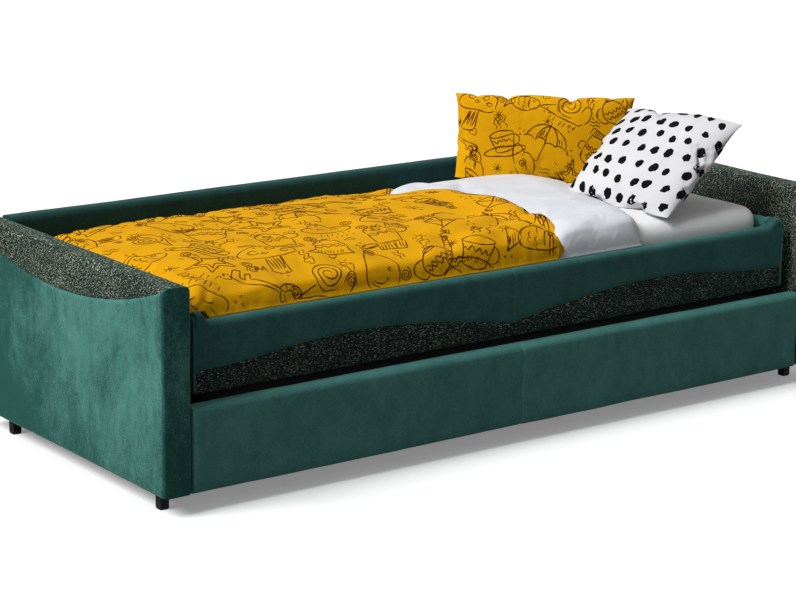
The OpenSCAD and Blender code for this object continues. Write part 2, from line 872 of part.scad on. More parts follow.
module guest_mattress() {
    color("#34363a") translate([0, guest_front + guest_wid / 2, guest_low])
        cushion_block(mattress_len, guest_wid, guest_t, guest_edge_r, guest_edge_r / 2, mattress_corner_r,
            mattress_crown / 2, mattress_draw, [8, 4, 3]);
}

// Bedding is drawn as a field of heights over the bed: its underside follows the made-up mattress, and
// rests on the box where it reaches beyond it.
function bed_z(e) = e < 0 ? 0 : cushion_z(e, mattress_top, mattress_edge_r, mattress_crown, crown_in);
function in_x(x) = mattress_len / 2 - abs(x);
function in_y(y) = min(y - mattress_front, mattress_rear - y);
upper_in = upper_insets(mattress_edge_r, crown_in);
raised_x = mattress_len / 2 - upper_in[2];
function rest_z(x) = abs(x) > raised_x - fit ? box_top + end_rise : box_top;
function under_z(x, y) = max(min(bed_z(in_x(x)), bed_z(in_y(y))), rest_z(x)) + fit;
// Height of the bed without the rounding of its edges
function broad_z(x, y) = fit
    + min(bed_z(max(in_x(x), mattress_edge_r)), bed_z(max(in_y(y), mattress_edge_r)));

// Rounding at a distance d from an edge, and a gentler slope
function roll(d, reach) = sqrt(1 - pow(1 - min(max(d / reach, 0), 1), 2));
function slope(d, reach) = pow(sin(90 * min(max(d / reach, 0), 1)), 2);
function edge_y(y) = roll(y - lay_front, front_roll) * slope(lay_rear - y, rear_roll);

// Soft folds across the bed
function folds(x, y) = fold_h * (sin(360 * (x + y / 3) / fold_len) + sin(360 * (x / 2 - y) / fold_len) / 2);

// Distance of the duvet's curved right end from the middle, and of the quilt's end
function hem_x(y) = hem_tip_x - pow(y + hem_tip_y, 2) / hem_bow + hem_flare_share * max(0, y - hem_turn_y);
function quilt_x(y) = quilt_end_x + quilt_sweep_share * (y - lay_front);

// Rows from the back to the front. Near the edges they lie where the mattress has its rings.
middle_n = 5;
inner_rear = mattress_rear - crown_in;
inner_front = mattress_front + crown_in;
rows = concat([lay_rear], [for (k = [3 : 7]) mattress_rear - upper_in[k]],
    [for (k = [1 : middle_n]) inner_rear + (inner_front - inner_rear) * k / (middle_n + 1)],
    [for (k = [7 : -1 : 0]) mattress_front + upper_in[k]],
    [for (share = [0.2, 0.65, 1]) mattress_front - front_over * share]);

// Field between an upper and a lower height, over columns of x at each row
module laid_sheet(columns, upper, lower) {
    n = len(columns[0]) - 1;
    m = len(rows) - 1;
    o = (n + 1) * (m + 1);
    top = [for (i = [0 : n], j = [0 : m]) [columns[j][i], rows[j], upper[j][i]]];
    base = [for (i = [0 : n], j = [0 : m]) [columns[j][i], rows[j], lower[j][i]]];
    function at(i, j) = i * (m + 1) + j;
    // Each cell is split along the line that runs in from the nearest corner on the left
    cells = [for (i = [0 : n - 1], j = [0 : m - 1])
        let (a = at(i, j), b = at(i + 1, j), c = at(i + 1, j + 1), d = at(i, j + 1))
        each (j < m / 2 ? [[a, b, c], [a, c, d]] : [[a, b, d], [b, c, d]])];
    rims = concat([for (i = [0 : n - 1]) each [[at(i + 1, 0), at(i, 0)], [at(i, m), at(i + 1, m)]]],
        [for (j = [0 : m - 1]) each [[at(n, j + 1), at(n, j)], [at(0, j), at(0, j + 1)]]]);
    polyhedron(concat(top, base), concat(cells, [for (f = cells) [f[2] + o, f[1] + o, f[0] + o]],
        [for (r = rims) each [[r[0], r[1], r[1] + o], [r[0], r[1] + o, r[0] + o]]]));
}

module duvet() {
    outer = [for (share = [1, 0.75, 0.4]) -mattress_len / 2 - duvet_over * share];
    ringed = [for (i = upper_in) -mattress_len / 2 + i];
    shares = [0.1, 0.22, 0.34, 0.46, 0.58, 0.7, 0.81, 0.9, 0.96, 1];
    columns = [for (y = rows) concat(outer, ringed,
        [for (share = shares) let (from = -mattress_len / 2 + crown_in) from + (hem_x(y) - from) * share])];
    lower = [for (j = [0 : len(rows) - 1]) [for (x = columns[j]) under_z(x, rows[j])]];
    upper = [for (j = [0 : len(rows) - 1]) [for (i = [0 : len(columns[j]) - 1])
        let (x = columns[j][i], y = rows[j], low = lower[j][i] + hem_t,
            e = edge_y(y) * roll(x - lay_left, front_roll) * (1 + roll(hem_x(y) - x, hem_roll)) / 2)
        low + (broad_z(x, y) + duvet_t + folds(x, y) - low) * e]];
    color("#eeb007") laid_sheet(columns, upper, lower);
}

module white_quilt() {
    shares = [0, 0.1, 0.22, 0.35, 0.5, 0.65, 0.78, 0.88, 0.95, 1];
    // The pillows press the quilt behind this line
    loaded_share = -0.33;
    loaded_y = mattress_wid * loaded_share;
    columns = [for (y = rows) let (from = hem_x(y) + fit)
        [for (share = shares) from + (quilt_x(y) - from) * share]];
    lower = [for (j = [0 : len(rows) - 1]) [for (x = columns[j]) under_z(x, rows[j])]];
    upper = [for (j = [0 : len(rows) - 1]) [for (i = [0 : len(columns[j]) - 1])
        let (x = columns[j][i], y = rows[j], low = lower[j][i] + hem_t,
            load = min(max((y - loaded_y) / hem_roll, 0), 1) * min(max((x - hem_tip_x) / hem_roll, 0), 1),
            t = quilt_t + (quilt_pressed_t - quilt_t) * load,
            e = edge_y(y) * roll(quilt_x(y) - x, hem_roll) * (1 + 2 * roll(x - hem_x(y), hem_roll)) / 3)
        low + (broad_z(x, y) + t - low) * e]];
    color("#f1f3f7") laid_sheet(columns, upper, lower);
}

// Pillow: two crowned faces that meet in a seam, with the sides drawn in between the corners.
// turn is [heading, lean, roll] in degrees, and half is [half width, half height, half thickness].
function pillow_axes(turn) = let (h = turn[0], l = turn[1], r = turn[2],
    u = [cos(h), sin(h), 0], v = [-sin(h) * sin(l), cos(h) * sin(l), cos(l)])
    [cos(r) * u + sin(r) * v, cos(r) * v - sin(r) * u, [sin(h) * cos(l), -cos(h) * cos(l), sin(l)]];

// sink is how far the upper left corner goes down and forward, and n is the number of cells per side.
module pillow(centre, turn, half, sink, n) {
    axes = pillow_axes(turn);
    m = n + 1;
    function corner(u, v) = pow((1 - u) * (1 + v) / 4, 2);
    function point(u, v, face) = centre
        + axes[0] * half.x * u * (1 - side_draw_share * (1 - v * v))
        + axes[1] * (half.y * v * (1 - side_draw_share * (1 - u * u)) - sink[0] * corner(u, v))
        + axes[2] * (face * half.z * pow(max((1 - u * u) * (1 - v * v), 0), crown_share)
            + sink[1] * corner(u, v));
    ticks = [for (k = [0 : n]) sin(180 * k / n - 90)];
    points = concat([for (i = [0 : n], j = [0 : n]) point(ticks[i], ticks[j], 1)],
        [for (i = [0 : n], j = [0 : n]) point(ticks[i], ticks[j], -1)]);
    function rear(k) = let (i = floor(k / m), j = k % m)
        (i == 0 || j == 0 || i == n || j == n) ? k : k + m * m;
    // Each corner's cell is split through the corner, so that no face lies in the seam
    front = [for (i = [0 : n - 1], j = [0 : n - 1]) let (a = i * m + j, b = a + m, c = b + 1, d = a + 1)
        each ((i < n / 2) == (j < n / 2) ? [[a, d, c], [a, c, b]] : [[a, d, b], [d, c, b]])];
    polyhedron(points, concat(front, [for (f = front) [rear(f[2]), rear(f[1]), rear(f[0])]]));
}

// Where the pillows stand: shares of the mattress's length and width and of the pillow's height
print_shares = [0.3279, 0.2575, 0.38];
dotted_shares = [0.3684, -0.231, 0.324];
print_centre = [mattress_len * print_shares.x, mattress_wid * print_shares.y,
    pressed_z + print_high * print_shares.z];
dotted_centre = [mattress_len * dotted_shares.x, mattress_wid * dotted_shares.y,
    lay_z + dotted_high * dotted_shares.z];
// How they are turned, in degrees
print_angles = [-32.4, 8, -1.5];
dotted_angles = [-81.8, 49.5, -4.5];

// Space of the sheet and of the quilt under the pillows
module under_pillows() {
    edge = [for (y = rows) if (y > mattress_front) [quilt_x(y) + fit, y]];
    translate([0, 0, fit]) sheet_block();
    linear_extrude(pressed_z + fit) polygon(concat(edge, [[0, mattress_front], [0, lay_rear]]));
}

module print_pillow() {
    color("#eeb007") difference() {
        pillow(print_centre, print_angles, [print_wid, print_high, print_t] / 2, [0, 0], 16);
        under_pillows();
    }
}

module dotted_pillow() {
    color("#f4f4f2") difference() {
        pillow(dotted_centre, dotted_angles, [dotted_wid, dotted_high, dotted_t] / 2,
            [slump, slump_out], 16);
        under_pillows();
    }
}

// Front of the guest bed
module trundle_form(inset) {
    translate([-trundle_half + inset, front_y + inset, trundle_low + inset])
        slab_x([2 * (trundle_half - inset), trundle_front_t - 2 * inset, trundle_h - 2 * inset],
            inner(trundle_lip_r, inset), inner(arm_side_r, inset), inner(arm_side_r, inset));
}

// Places of the bolts along the front, as shares of its half length
front_bolt_shares = [-0.75, -0.3, 0.3, 0.75];

module front_bolt_shafts(radius) {
    for (share = front_bolt_shares)
        translate([trundle_half * share, trundle_back_face + cross_rail_t + over, rail_low + rail_h / 2])
            rotate([90, 0, 0]) cylinder(r = radius, h = over + cross_rail_t + cover_t + bolt_in);
}

module trundle_front_board() {
    color("#c9a36b") difference() {
        trundle_form(cover_t + fit);
        front_bolt_shafts(rod_r);
    }
}

module trundle_front_cover() {
    color("#1f5a55") difference() {
        trundle_form(0);
        trundle_form(cover_t);
        front_bolt_shafts(rod_r + fit);
    }
}

module trundle_front_bolts() {
    head_y = trundle_back_face + cross_rail_t + head_h;
    color("silver") {
        front_bolt_shafts(rod_r);
        for (share = front_bolt_shares) translate([trundle_half * share, head_y, rail_low + rail_h / 2])
            rotate([90, 0, 0]) cylinder(r = head_r, h = head_h);
    }
}

// Frame of the guest bed
module trundle_right_rail() {
    color("#c9a36b") span([rail_in_x, trundle_back_face, rail_low], [rail_out_x, trundle_rear, rail_top]);
}

module trundle_left_rail() { left() trundle_right_rail(); }

module trundle_front_rail() {
    color("#c9a36b") difference() {
        span([-rail_in_x, trundle_back_face, rail_low],
            [rail_in_x, trundle_back_face + cross_rail_t, rail_top]);
        front_bolt_shafts(rod_r);
    }
}

module trundle_rear_rail() {
    color("#c9a36b")
        span([-rail_in_x, trundle_rear - cross_rail_t, rail_low], [rail_in_x, trundle_rear, rail_top]);
}

module corner_bracket() {
    translate([0, 0, rail_low + (rail_h - corner_h) / 2]) linear_extrude(corner_h)
        polygon([[0, 0], [-corner_leaf, 0], [-corner_leaf, plate_t], [-plate_t, plate_t],
            [-plate_t, corner_leaf], [0, corner_leaf]]);
}

module trundle_corner_brackets() {
    color("#3a3a3c") both() {
        translate([rail_in_x, trundle_back_face + cross_rail_t, 0]) corner_bracket();
        translate([rail_in_x, trundle_rear - cross_rail_t, 0]) mirror([0, 1, 0]) corner_bracket();
    }
}

module guest_slats() {
    color("#d9b27c") for (k = [0 : guest_slats_n - 1])
        let (x = (k - (guest_slats_n - 1) / 2) * guest_slat_pitch - guest_slat_w / 2)
            span([x, trundle_back_face + fit, rail_top],
                [x + guest_slat_w, trundle_rear, rail_top + guest_slat_t]);
}

// Blocks on the side rails that keep the guest bed square between the arms
module trundle_guides() {
    guide_w = rail_gap - fit;
    color("#202020") both() for (y = [trundle_back_face + guide_inset, trundle_rear - guide_inset])
        translate([rail_out_x, y - guide_len / 2, rail_low + (rail_h - guide_h) / 2]) linear_extrude(guide_h)
            intersection() {
                translate([-guide_w, 0]) rounded([2 * guide_w, guide_len], guide_r, guide_r);
                square([guide_w, guide_len]);
            }
}

// Castors
module at_castors() {
    for (x = [-castor_x, castor_x], y = [castor_front_y, castor_rear_y]) translate([x, y, 0]) children();
}

module cheek() {
    high = rail_low - fork_t;
    round_r = axle_r * 2;
    translate([0, wheel_r]) circle(round_r);
    polygon([[-cheek_w / 2, high], [-round_r, wheel_r], [round_r, wheel_r], [cheek_w / 2, high]]);
}

module castor_forks() {
    color("#8d9093") difference() {
        at_castors() {
            for (x = [-fork_out, fork_in]) translate([x, 0, 0]) along_x(fork_t) cheek();
            span([-side_rail_t / 2, -castor_plate_l / 2, rail_low - fork_t],
                [side_rail_t / 2, castor_plate_l / 2, rail_low]);
        }
        at_castors() translate([-fork_out - over, 0, wheel_r]) rotate([0, 90, 0])
            cylinder(r = axle_r + axle_play, h = 2 * (fork_out + over));
    }
}

module castor_axles() {
    rivet_h = fork_t / 2;
    color("silver") at_castors() translate([0, 0, wheel_r]) rotate([0, 90, 0]) {
        translate([0, 0, -fork_out - rivet_h]) cylinder(r = axle_r, h = 2 * (fork_out + rivet_h));
        for (z = [-fork_out - rivet_h - fit, fork_out + fit]) translate([0, 0, z])
            cylinder(r = axle_r * 1.5, h = rivet_h);
    }
}

module wheel_outline() {
    hub_r = axle_r * 2;
    difference() {
        translate([axle_r + axle_play, -wheel_w / 2]) square([wheel_r - axle_r - axle_play, wheel_w]);
        for (y = [-wheel_w / 2 - over, wheel_w / 2 - wheel_dish])
            translate([hub_r, y]) square([wheel_r - hub_r - 2 * wheel_edge_r, wheel_dish + over]);
        for (side = [-1, 1]) translate([wheel_r - wheel_edge_r, side * (wheel_w / 2 - wheel_edge_r)])
            difference() {
                translate([0, side > 0 ? 0 : -wheel_edge_r - over])
                    square([wheel_edge_r + over, wheel_edge_r + over]);
                circle(wheel_edge_r);
            }
    }
}

module wheel(x, y) {
    color("#5d6063") translate([x, y, wheel_r]) rotate([0, 90, 0]) rotate_extrude() wheel_outline();
}

module front_left_wheel() { wheel(-castor_x, castor_front_y); }
module front_right_wheel() { wheel(castor_x, castor_front_y); }
module rear_left_wheel() { wheel(-castor_x, castor_rear_y); }
module rear_right_wheel() { wheel(castor_x, castor_rear_y); }

left_arm_rails();
left_arm_studs();
left_arm_panels();
left_arm_velvet_cover();
left_arm_tweed_cover();
right_arm_rails();
right_arm_studs();
right_arm_panels();
right_arm_velvet_cover();
right_arm_tweed_cover();
back_rails();
back_studs();
back_panels();
back_cover();
back_joint_rods();
feet();
foot_glides();
foot_bolts();
box_front_board();
box_front_velvet();
box_front_tweed();
box_left_end_board();
box_left_end_cover();
box_right_end_board();
box_right_end_cover();
box_corner_welts();
box_rear_rail();
box_joint_rods();
slat_battens();
slat_holders();
sprung_slats();
left_box_brackets();
right_box_brackets();
bracket_bolts();
mattress();
fitted_sheet();
white_quilt();
duvet();
print_pillow();
dotted_pillow();
trundle_front_board();
trundle_front_cover();
trundle_left_rail();
trundle_right_rail();
trundle_front_rail();
trundle_rear_rail();
trundle_corner_brackets();
trundle_guides();
trundle_front_bolts();
guest_slats();
guest_mattress();
castor_forks();
castor_axles();
front_left_wheel();
front_right_wheel();
rear_left_wheel();
rear_right_wheel();
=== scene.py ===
"""Looks of the single sofa bed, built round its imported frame.

All sizes are in metres, in the frame's axes: X runs along the bed, -Y is the front and Z = 0 is the floor.
"""

import math

import bmesh
import bpy
import numpy as np
from mathutils import Matrix, Vector


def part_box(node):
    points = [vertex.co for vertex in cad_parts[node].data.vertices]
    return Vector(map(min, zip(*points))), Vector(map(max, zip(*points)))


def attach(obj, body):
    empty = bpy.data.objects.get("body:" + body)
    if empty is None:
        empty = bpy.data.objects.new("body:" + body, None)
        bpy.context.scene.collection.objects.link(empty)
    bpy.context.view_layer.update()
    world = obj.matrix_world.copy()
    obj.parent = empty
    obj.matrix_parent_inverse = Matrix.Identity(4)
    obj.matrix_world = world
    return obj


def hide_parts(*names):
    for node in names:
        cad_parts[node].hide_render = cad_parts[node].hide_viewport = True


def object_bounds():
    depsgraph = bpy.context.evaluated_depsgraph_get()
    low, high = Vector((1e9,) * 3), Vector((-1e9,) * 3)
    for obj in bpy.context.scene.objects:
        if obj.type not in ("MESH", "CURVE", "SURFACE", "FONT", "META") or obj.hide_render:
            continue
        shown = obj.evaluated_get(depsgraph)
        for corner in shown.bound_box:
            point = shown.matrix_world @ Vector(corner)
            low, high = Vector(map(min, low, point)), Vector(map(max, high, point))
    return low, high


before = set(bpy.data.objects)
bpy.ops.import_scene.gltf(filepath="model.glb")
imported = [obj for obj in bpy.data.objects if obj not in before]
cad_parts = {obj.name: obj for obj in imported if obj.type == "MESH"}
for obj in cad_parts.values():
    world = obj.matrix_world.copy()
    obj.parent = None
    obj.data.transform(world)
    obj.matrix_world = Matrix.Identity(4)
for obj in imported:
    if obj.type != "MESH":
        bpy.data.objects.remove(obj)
cad_low, cad_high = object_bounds()
scene = bpy.context.scene

# Camera, fitted to the edges of the sofa bed in the photograph
CAMERA_PLACE = Vector((-4.064, -5.3567, 1.9889))
CAMERA_YAW = math.radians(36.78)
CAMERA_PITCH = math.radians(14.133)
CAMERA_ROLL = math.radians(0.743)
FOCAL_PIXELS = 2500.8
PHOTO_PIXELS = 796
SENSOR_WIDTH = 36.0
CAMERA_REACH = 60


def add_object(name, data):
    """New object of the scene."""
    added = bpy.data.objects.new(name, data)
    scene.collection.objects.link(added)
    return added


def make_camera():
    """Camera with the photograph's place, direction and angle of view."""
    yaw, pitch, roll = CAMERA_YAW, CAMERA_PITCH, CAMERA_ROLL
    ahead = Vector((math.sin(yaw) * math.cos(pitch), math.cos(yaw) * math.cos(pitch), -math.sin(pitch)))
    level = Vector((math.cos(yaw), -math.sin(yaw), 0))
    above = level.cross(ahead)
    right = level * math.cos(roll) + above * math.sin(roll)
    up = above * math.cos(roll) - level * math.sin(roll)
    data = bpy.data.cameras.new("camera")
    data.sensor_fit = "HORIZONTAL"
    data.sensor_width = SENSOR_WIDTH
    data.lens = FOCAL_PIXELS * SENSOR_WIDTH / PHOTO_PIXELS
    data.clip_end = CAMERA_REACH
    camera = add_object("camera", data)
    camera.matrix_world = Matrix.Translation(CAMERA_PLACE) @ Matrix((right, up, -ahead)).transposed().to_4x4()
    scene.camera = camera


make_camera()
scene.view_settings.view_transform = "Standard"

# Sizes that follow the solids
bed_low, bed_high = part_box("fitted_sheet")
duvet_low, duvet_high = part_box("duvet")
box_low, box_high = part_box("box_front_velvet")
BED_HALF = bed_high.x
BED_FRONT, BED_REAR, BED_TOP = bed_low.y, bed_high.y, bed_high.z
LAY_LEFT, LAY_FRONT, LAY_REAR = duvet_low.x, duvet_low.y, duvet_high.y
END_TOP = box_high.z

# Sizes that the solids' source names
FIT = 0.0003
BOX_TOP = 0.462
EDGE_R = 0.045
CROWN = 0.012
CROWN_SHARE = 5
CORNER_R = 0.060
SIDE_DRAW = 0.005
DUVET_T = 0.021
QUILT_T = 0.024
QUILT_PRESSED_T = 0.015
HEM_T = 0.005
FRONT_ROLL = 0.058
FRONT_FULL = 0.032
REAR_ROLL = 0.170
HEM_ROLL = 0.045
HEM_TIP = (0.270, -0.120)
HEM_BOW = 0.800
HEM_TURN_Y = 0.250
HEM_FLARE_SHARE = 1.9
QUILT_END_X = 0.470
QUILT_SWEEP_SHARE = 0.33
PRESSED_Z = BED_TOP + FIT + QUILT_PRESSED_T

# Guard against division by zero, a right angle, and the grid behind the noise
TINY = 1e-9
QUARTER = math.pi / 2
LATTICE = 64
LATTICE_SHIFT = (1000.37, 1000.71)
NORMAL_STEP = 0.4


# Grids of points

def soft_step(value):
    """0 below 0 and 1 above 1, with a smooth rise between them."""
    t = np.clip(value, 0, 1)
    return t * t * (3 - 2 * t)


def hills(x, y, cell, seed):
    """Smooth noise from -1 to 1, with about one hill or hollow in each cell."""
    lattice = np.random.default_rng(seed).uniform(-1, 1, (LATTICE, LATTICE))
    a, b = np.asarray(x) / cell + LATTICE_SHIFT[0], np.asarray(y) / cell + LATTICE_SHIFT[1]
    i, j = np.floor(a).astype(int), np.floor(b).astype(int)
    s, t = soft_step(a - i), soft_step(b - j)
    corners = [lattice[(i + p) % LATTICE, (j + q) % LATTICE] for p in (0, 1) for q in (0, 1)]
    return (corners[0] * (1 - t) + corners[1] * t) * (1 - s) + (corners[2] * (1 - t) + corners[3] * t) * s


def spline_weights(t):
    """Weights of four neighbours in a row for a smooth curve through the middle two."""
    return np.stack([
        ((2 - t) * t - 1) * t / 2,
        ((3 * t - 5) * t * t + 2) / 2,
        ((4 - 3 * t) * t + 1) * t / 2,
        (t - 1) * t * t / 2,
    ])


class Surface:
    """A grid of points as one smooth surface. Places a and b on it are counted in cells along its sides."""

    def __init__(self, grid):
        self.grid = grid
        self.last = np.array(grid.shape[:2]) - 1

    def at(self, a, b):
        a, b = np.clip(a, 0, self.last[0]), np.clip(b, 0, self.last[1])
        i = np.minimum(np.floor(a).astype(int), self.last[0] - 1)
        j = np.minimum(np.floor(b).astype(int), self.last[1] - 1)
        along, across = spline_weights(a - i), spline_weights(b - j)
        total = 0
        for p in range(4):
            for q in range(4):
                row = np.clip(i + p - 1, 0, self.last[0])
                column = np.clip(j + q - 1, 0, self.last[1])
                total = total + (along[p] * across[q])[..., None] * self.grid[row, column]
        return total

    def normal(self, a, b):
        step = NORMAL_STEP
        return unit(np.cross(self.at(a + step, b) - self.at(a - step, b),
                             self.at(a, b + step) - self.at(a, b - step)))

    def refined(self, times):
        """The same surface with more cells."""
        a = np.linspace(0, self.last[0], self.last[0] * times + 1)
        b = np.linspace(0, self.last[1], self.last[1] * times + 1)
        return self.at(*np.meshgrid(a, b, indexing="ij"))


def unit(vectors):
    """Directions of vectors."""
    return vectors / np.maximum(np.linalg.norm(vectors, axis=-1, keepdims=True), TINY)


def grid_faces(n, m, start=0, flip=False):
    """Faces of a grid of n by m points, whose numbers begin at start."""
    i, j = np.meshgrid(np.arange(n - 1), np.arange(m - 1), indexing="ij")
    a = start + i * m + j
    corners = [a, a + m, a + m + 1, a + 1]
    if flip:
        corners.reverse()
    return np.stack(corners, -1).reshape(-1, 4)


def border_of(n, m):
    """Numbers of a grid's border points, once round."""
    return np.concatenate([
        np.arange(n - 1) * m,
        (n - 1) * m + np.arange(m - 1),
        np.arange(n - 1, 0, -1) * m + m - 1,
        np.arange(m - 1, 0, -1),
    ])


def ring_faces(first, second):
    """Faces between two closed rings of point numbers."""
    return np.stack([first, np.roll(first, -1), np.roll(second, -1), second], -1)


def path_lengths(path):
    """How far along a path of points each of them lies."""
    return np.concatenate([[0], np.cumsum(np.linalg.norm(np.diff(path, axis=0), axis=1))])


def even_shares(path, count):
    """Shares along a path of points at which count points are evenly spaced."""
    gone = path_lengths(path)
    return np.interp(np.linspace(0, gone[-1], count), gone, np.linspace(0, 1, len(path)))


# Pieces

CLOTH_VALUES = {
    "quality": 5, "mass": 0.3, "tension_stiffness": 25, "compression_stiffness": 25, "shear_stiffness": 8,
    "bending_stiffness": 0.05, "use_pressure": True,
}


def add_mesh(name, points, faces, material):
    """Object with smooth faces, in the frame's axes."""
    mesh = bpy.data.meshes.new(name)
    mesh.from_pydata(np.asarray(points).tolist(), [], [[int(k) for k in face] for face in faces])
    mesh.polygons.foreach_set("use_smooth", np.ones(len(mesh.polygons), bool))
    mesh.materials.append(material)
    return add_object(name, mesh)


def fit_out(piece, node=None, body="sofa_bed"):
    """Lets a piece ride on a body, in place of a node of the frame if one is given."""
    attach(piece, body)
    if node:
        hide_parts(node)


def merge_close(piece, distance=0.00001):
    """Joins the points of a piece that lie in one place."""
    shape = bmesh.new()
    shape.from_mesh(piece.data)
    bmesh.ops.remove_doubles(shape, verts=shape.verts, dist=distance)
    bmesh.ops.dissolve_degenerate(shape, edges=shape.edges, dist=distance / 10)
    bmesh.ops.recalc_face_normals(shape, faces=shape.faces)
    shape.to_mesh(piece.data)
    shape.free()


def thicken(piece, thickness):
    """Turns a surface into a cover of that thickness, with its outer side where the surface was."""
    solid = piece.modifiers.new("thickness", "SOLIDIFY")
    solid.thickness = thickness
    solid.offset = -1
    mesh = bpy.data.meshes.new_from_object(piece.evaluated_get(bpy.context.evaluated_depsgraph_get()))
    piece.modifiers.clear()
    piece.data = mesh


def simulate(points, faces, held, pressure, growth, cap, frames=20):
    """Cloth under pressure without gravity. Held points stay, and no point moves further than cap."""
    piece = add_mesh("cloth_trial", points, faces, bpy.data.materials.new("trial"))
    group = piece.vertex_groups.new(name="held")
    group.add([int(i) for i in held], 1, "REPLACE")
    settings = piece.modifiers.new("cloth", "CLOTH").settings
    for name, value in CLOTH_VALUES.items():
        setattr(settings, name, value)
    settings.uniform_pressure_force = pressure
    settings.shrink_min = -growth
    settings.effector_weights.gravity = 0
    if len(held):
        settings.vertex_group_mass = "held"
    for number in range(1, frames + 1):
        scene.frame_set(number)
    shown = piece.evaluated_get(bpy.context.evaluated_depsgraph_get())
    moved = np.empty(len(points) * 3, np.float32)
    shown.data.vertices.foreach_get("co", moved)
    bpy.data.objects.remove(piece)
    scene.frame_set(1)
    shift = moved.reshape(-1, 3) - points
    length = np.linalg.norm(shift, axis=1, keepdims=True)
    return points + shift * np.minimum(1, cap / np.maximum(length, TINY))


# Materials

class Nodes:
    """Shader nodes of a material or of the world."""

    def __init__(self, tree):
        self.tree = tree

    def feed(self, socket, value):
        """Links a source to a socket, or sets a number, a vector or a colour there."""
        if isinstance(value, bpy.types.NodeSocket):
            self.tree.links.new(value, socket)
        else:
            socket.default_value = (*value, 1) if socket.type == "RGBA" and len(value) == 3 else value

    def set(self, node, **values):
        for key, value in values.items():
            self.feed(node.inputs[key.replace("_", " ")], value)

    def add(self, kind, **values):
        node = self.tree.nodes.new(kind)
        self.set(node, **values)
        return node

    def maths(self, operation, first, second):
        node = self.add("ShaderNodeMath")
        node.operation = operation
        self.feed(node.inputs[0], first)
        self.feed(node.inputs[1], second)
        return node.outputs[0]

    def ramp(self, factor, *stops):
        """Colours or greys at places from 0 to 1."""
        ramp = self.add("ShaderNodeValToRGB", Fac=factor)
        points = ramp.color_ramp.elements
        while len(points) < len(stops):
            points.new(0.5)
        for point, (place, value) in zip(points, stops):
            point.position = place
            point.color = (*value, 1) if hasattr(value, "__len__") else (value, value, value, 1)
        return ramp.outputs[0]

    def mix(self, factor, first, second, mode="MIX"):
        """Two colours, each a source or a value, mixed by a source or a number."""
        mix = self.add("ShaderNodeMix")
        mix.data_type = "RGBA"
        mix.blend_type = mode
        for place, value in ((0, factor), (6, first), (7, second)):
            self.feed(mix.inputs[place], value)
        return mix.outputs[2]


class Look(Nodes):
    """Node material round one Principled shader."""

    def __init__(self, name, **values):
        self.material = bpy.data.materials.new(name + "_look")
        self.material.use_nodes = True
        super().__init__(self.material.node_tree)
        self.shader = self.tree.nodes["Principled BSDF"]
        self.set(self.shader, **values)
        self.place = self.add("ShaderNodeTexCoord").outputs["Object"]

    def noise(self, scale, stretch=(1, 1, 1), detail=3, roughness=0.55, distortion=0):
        """Noise with scale hills per metre, or fewer along a stretched axis."""
        mapping = self.add("ShaderNodeMapping", Vector=self.place, Scale=[scale * s for s in stretch])
        return self.add("ShaderNodeTexNoise", Vector=mapping.outputs[0], Scale=1, Detail=detail,
                        Roughness=roughness, Distortion=distortion).outputs["Fac"]

    def waves(self, scale, direction):
        """Fine ribs, scale per metre, across one direction."""
        wave = self.add("ShaderNodeTexWave", Vector=self.place, Scale=scale / (2 * math.pi) * 0.5)
        wave.bands_direction = direction
        return wave.outputs["Fac"]

    def along(self, axis, start, end):
        """0 before a place on an axis and 1 from another one on."""
        part = self.add("ShaderNodeSeparateXYZ", Vector=self.place).outputs[axis]
        return self.add("ShaderNodeMapRange", Value=part, From_Min=start, From_Max=end).outputs["Result"]

    def finished(self, colour, *bumps, rough=None):
        """The material with its colour and its bump layers, each as (height, strength, depth in metres)."""
        values = {"Base_Color": colour}
        if rough is not None:
            values["Roughness"] = rough
        for height, strength, depth in bumps:
            last = {"Normal": values["Normal"]} if "Normal" in values else {}
            bump = self.add("ShaderNodeBump", Strength=strength, Distance=depth, Height=height, **last)
            values["Normal"] = bump.outputs[0]
        self.set(self.shader, **values)
        return self.material


def velvet_look(name, dark, light, sheen=0.4, painted_shade=False):
    """Short pile, brushed here and there, that lightens where it turns away. With painted_shade, painted
    shade darkens it in places.
    """
    look = Look(name, Roughness=0.8, Specular_IOR_Level=0.08, Sheen_Weight=sheen, Sheen_Roughness=0.42,
                Sheen_Tint=(0.36, 0.90, 0.78))
    brushed = look.noise(5, (1, 1, 0.7), 9, 0.74, 0.5)
    streaks = look.noise(34, (1, 1, 0.5), 8, 0.75)
    grain = look.noise(330, (1, 1, 0.8), 3, 0.7)
    pile = look.noise(1500, detail=2)
    tone = look.mix(0.38, look.mix(0.40, brushed, streaks), grain)
    if painted_shade:
        # Painted shade towards the rear, the floor and the front strip
        tone = painted_shade_tone(look, tone)
    base = look.ramp(tone, (0.41, dark), (0.57, light))
    return look.finished(look.mix(0.18, base, look.ramp(pile, (0.35, 0), (0.65, 1)), "OVERLAY"),
                         (pile, 0.25, 0.0004), (brushed, 0.25, 0.002),
                         rough=look.ramp(brushed, (0.3, 0.72), (0.7, 0.9)))


# Painted shade on the arms' velvet: its strength, a lift of the whole tone, and where it fades in along Y and
# Z
PAINTED_SHADE_SHARE = 0.055
PAINTED_SHADE_LIFT = 0.030
REAR_SHADE = (0.16, 0.46)
LONG_SHADE = (-0.30, 0.46)
LOW_SHADE = (0.32, 0.06)
STRIP_SHADE = (cad_low.y + 0.012, cad_low.y + 0.004)
LONG_SHADE_SHARE = 1.8
STRIP_SHADE_SHARE = 1.45


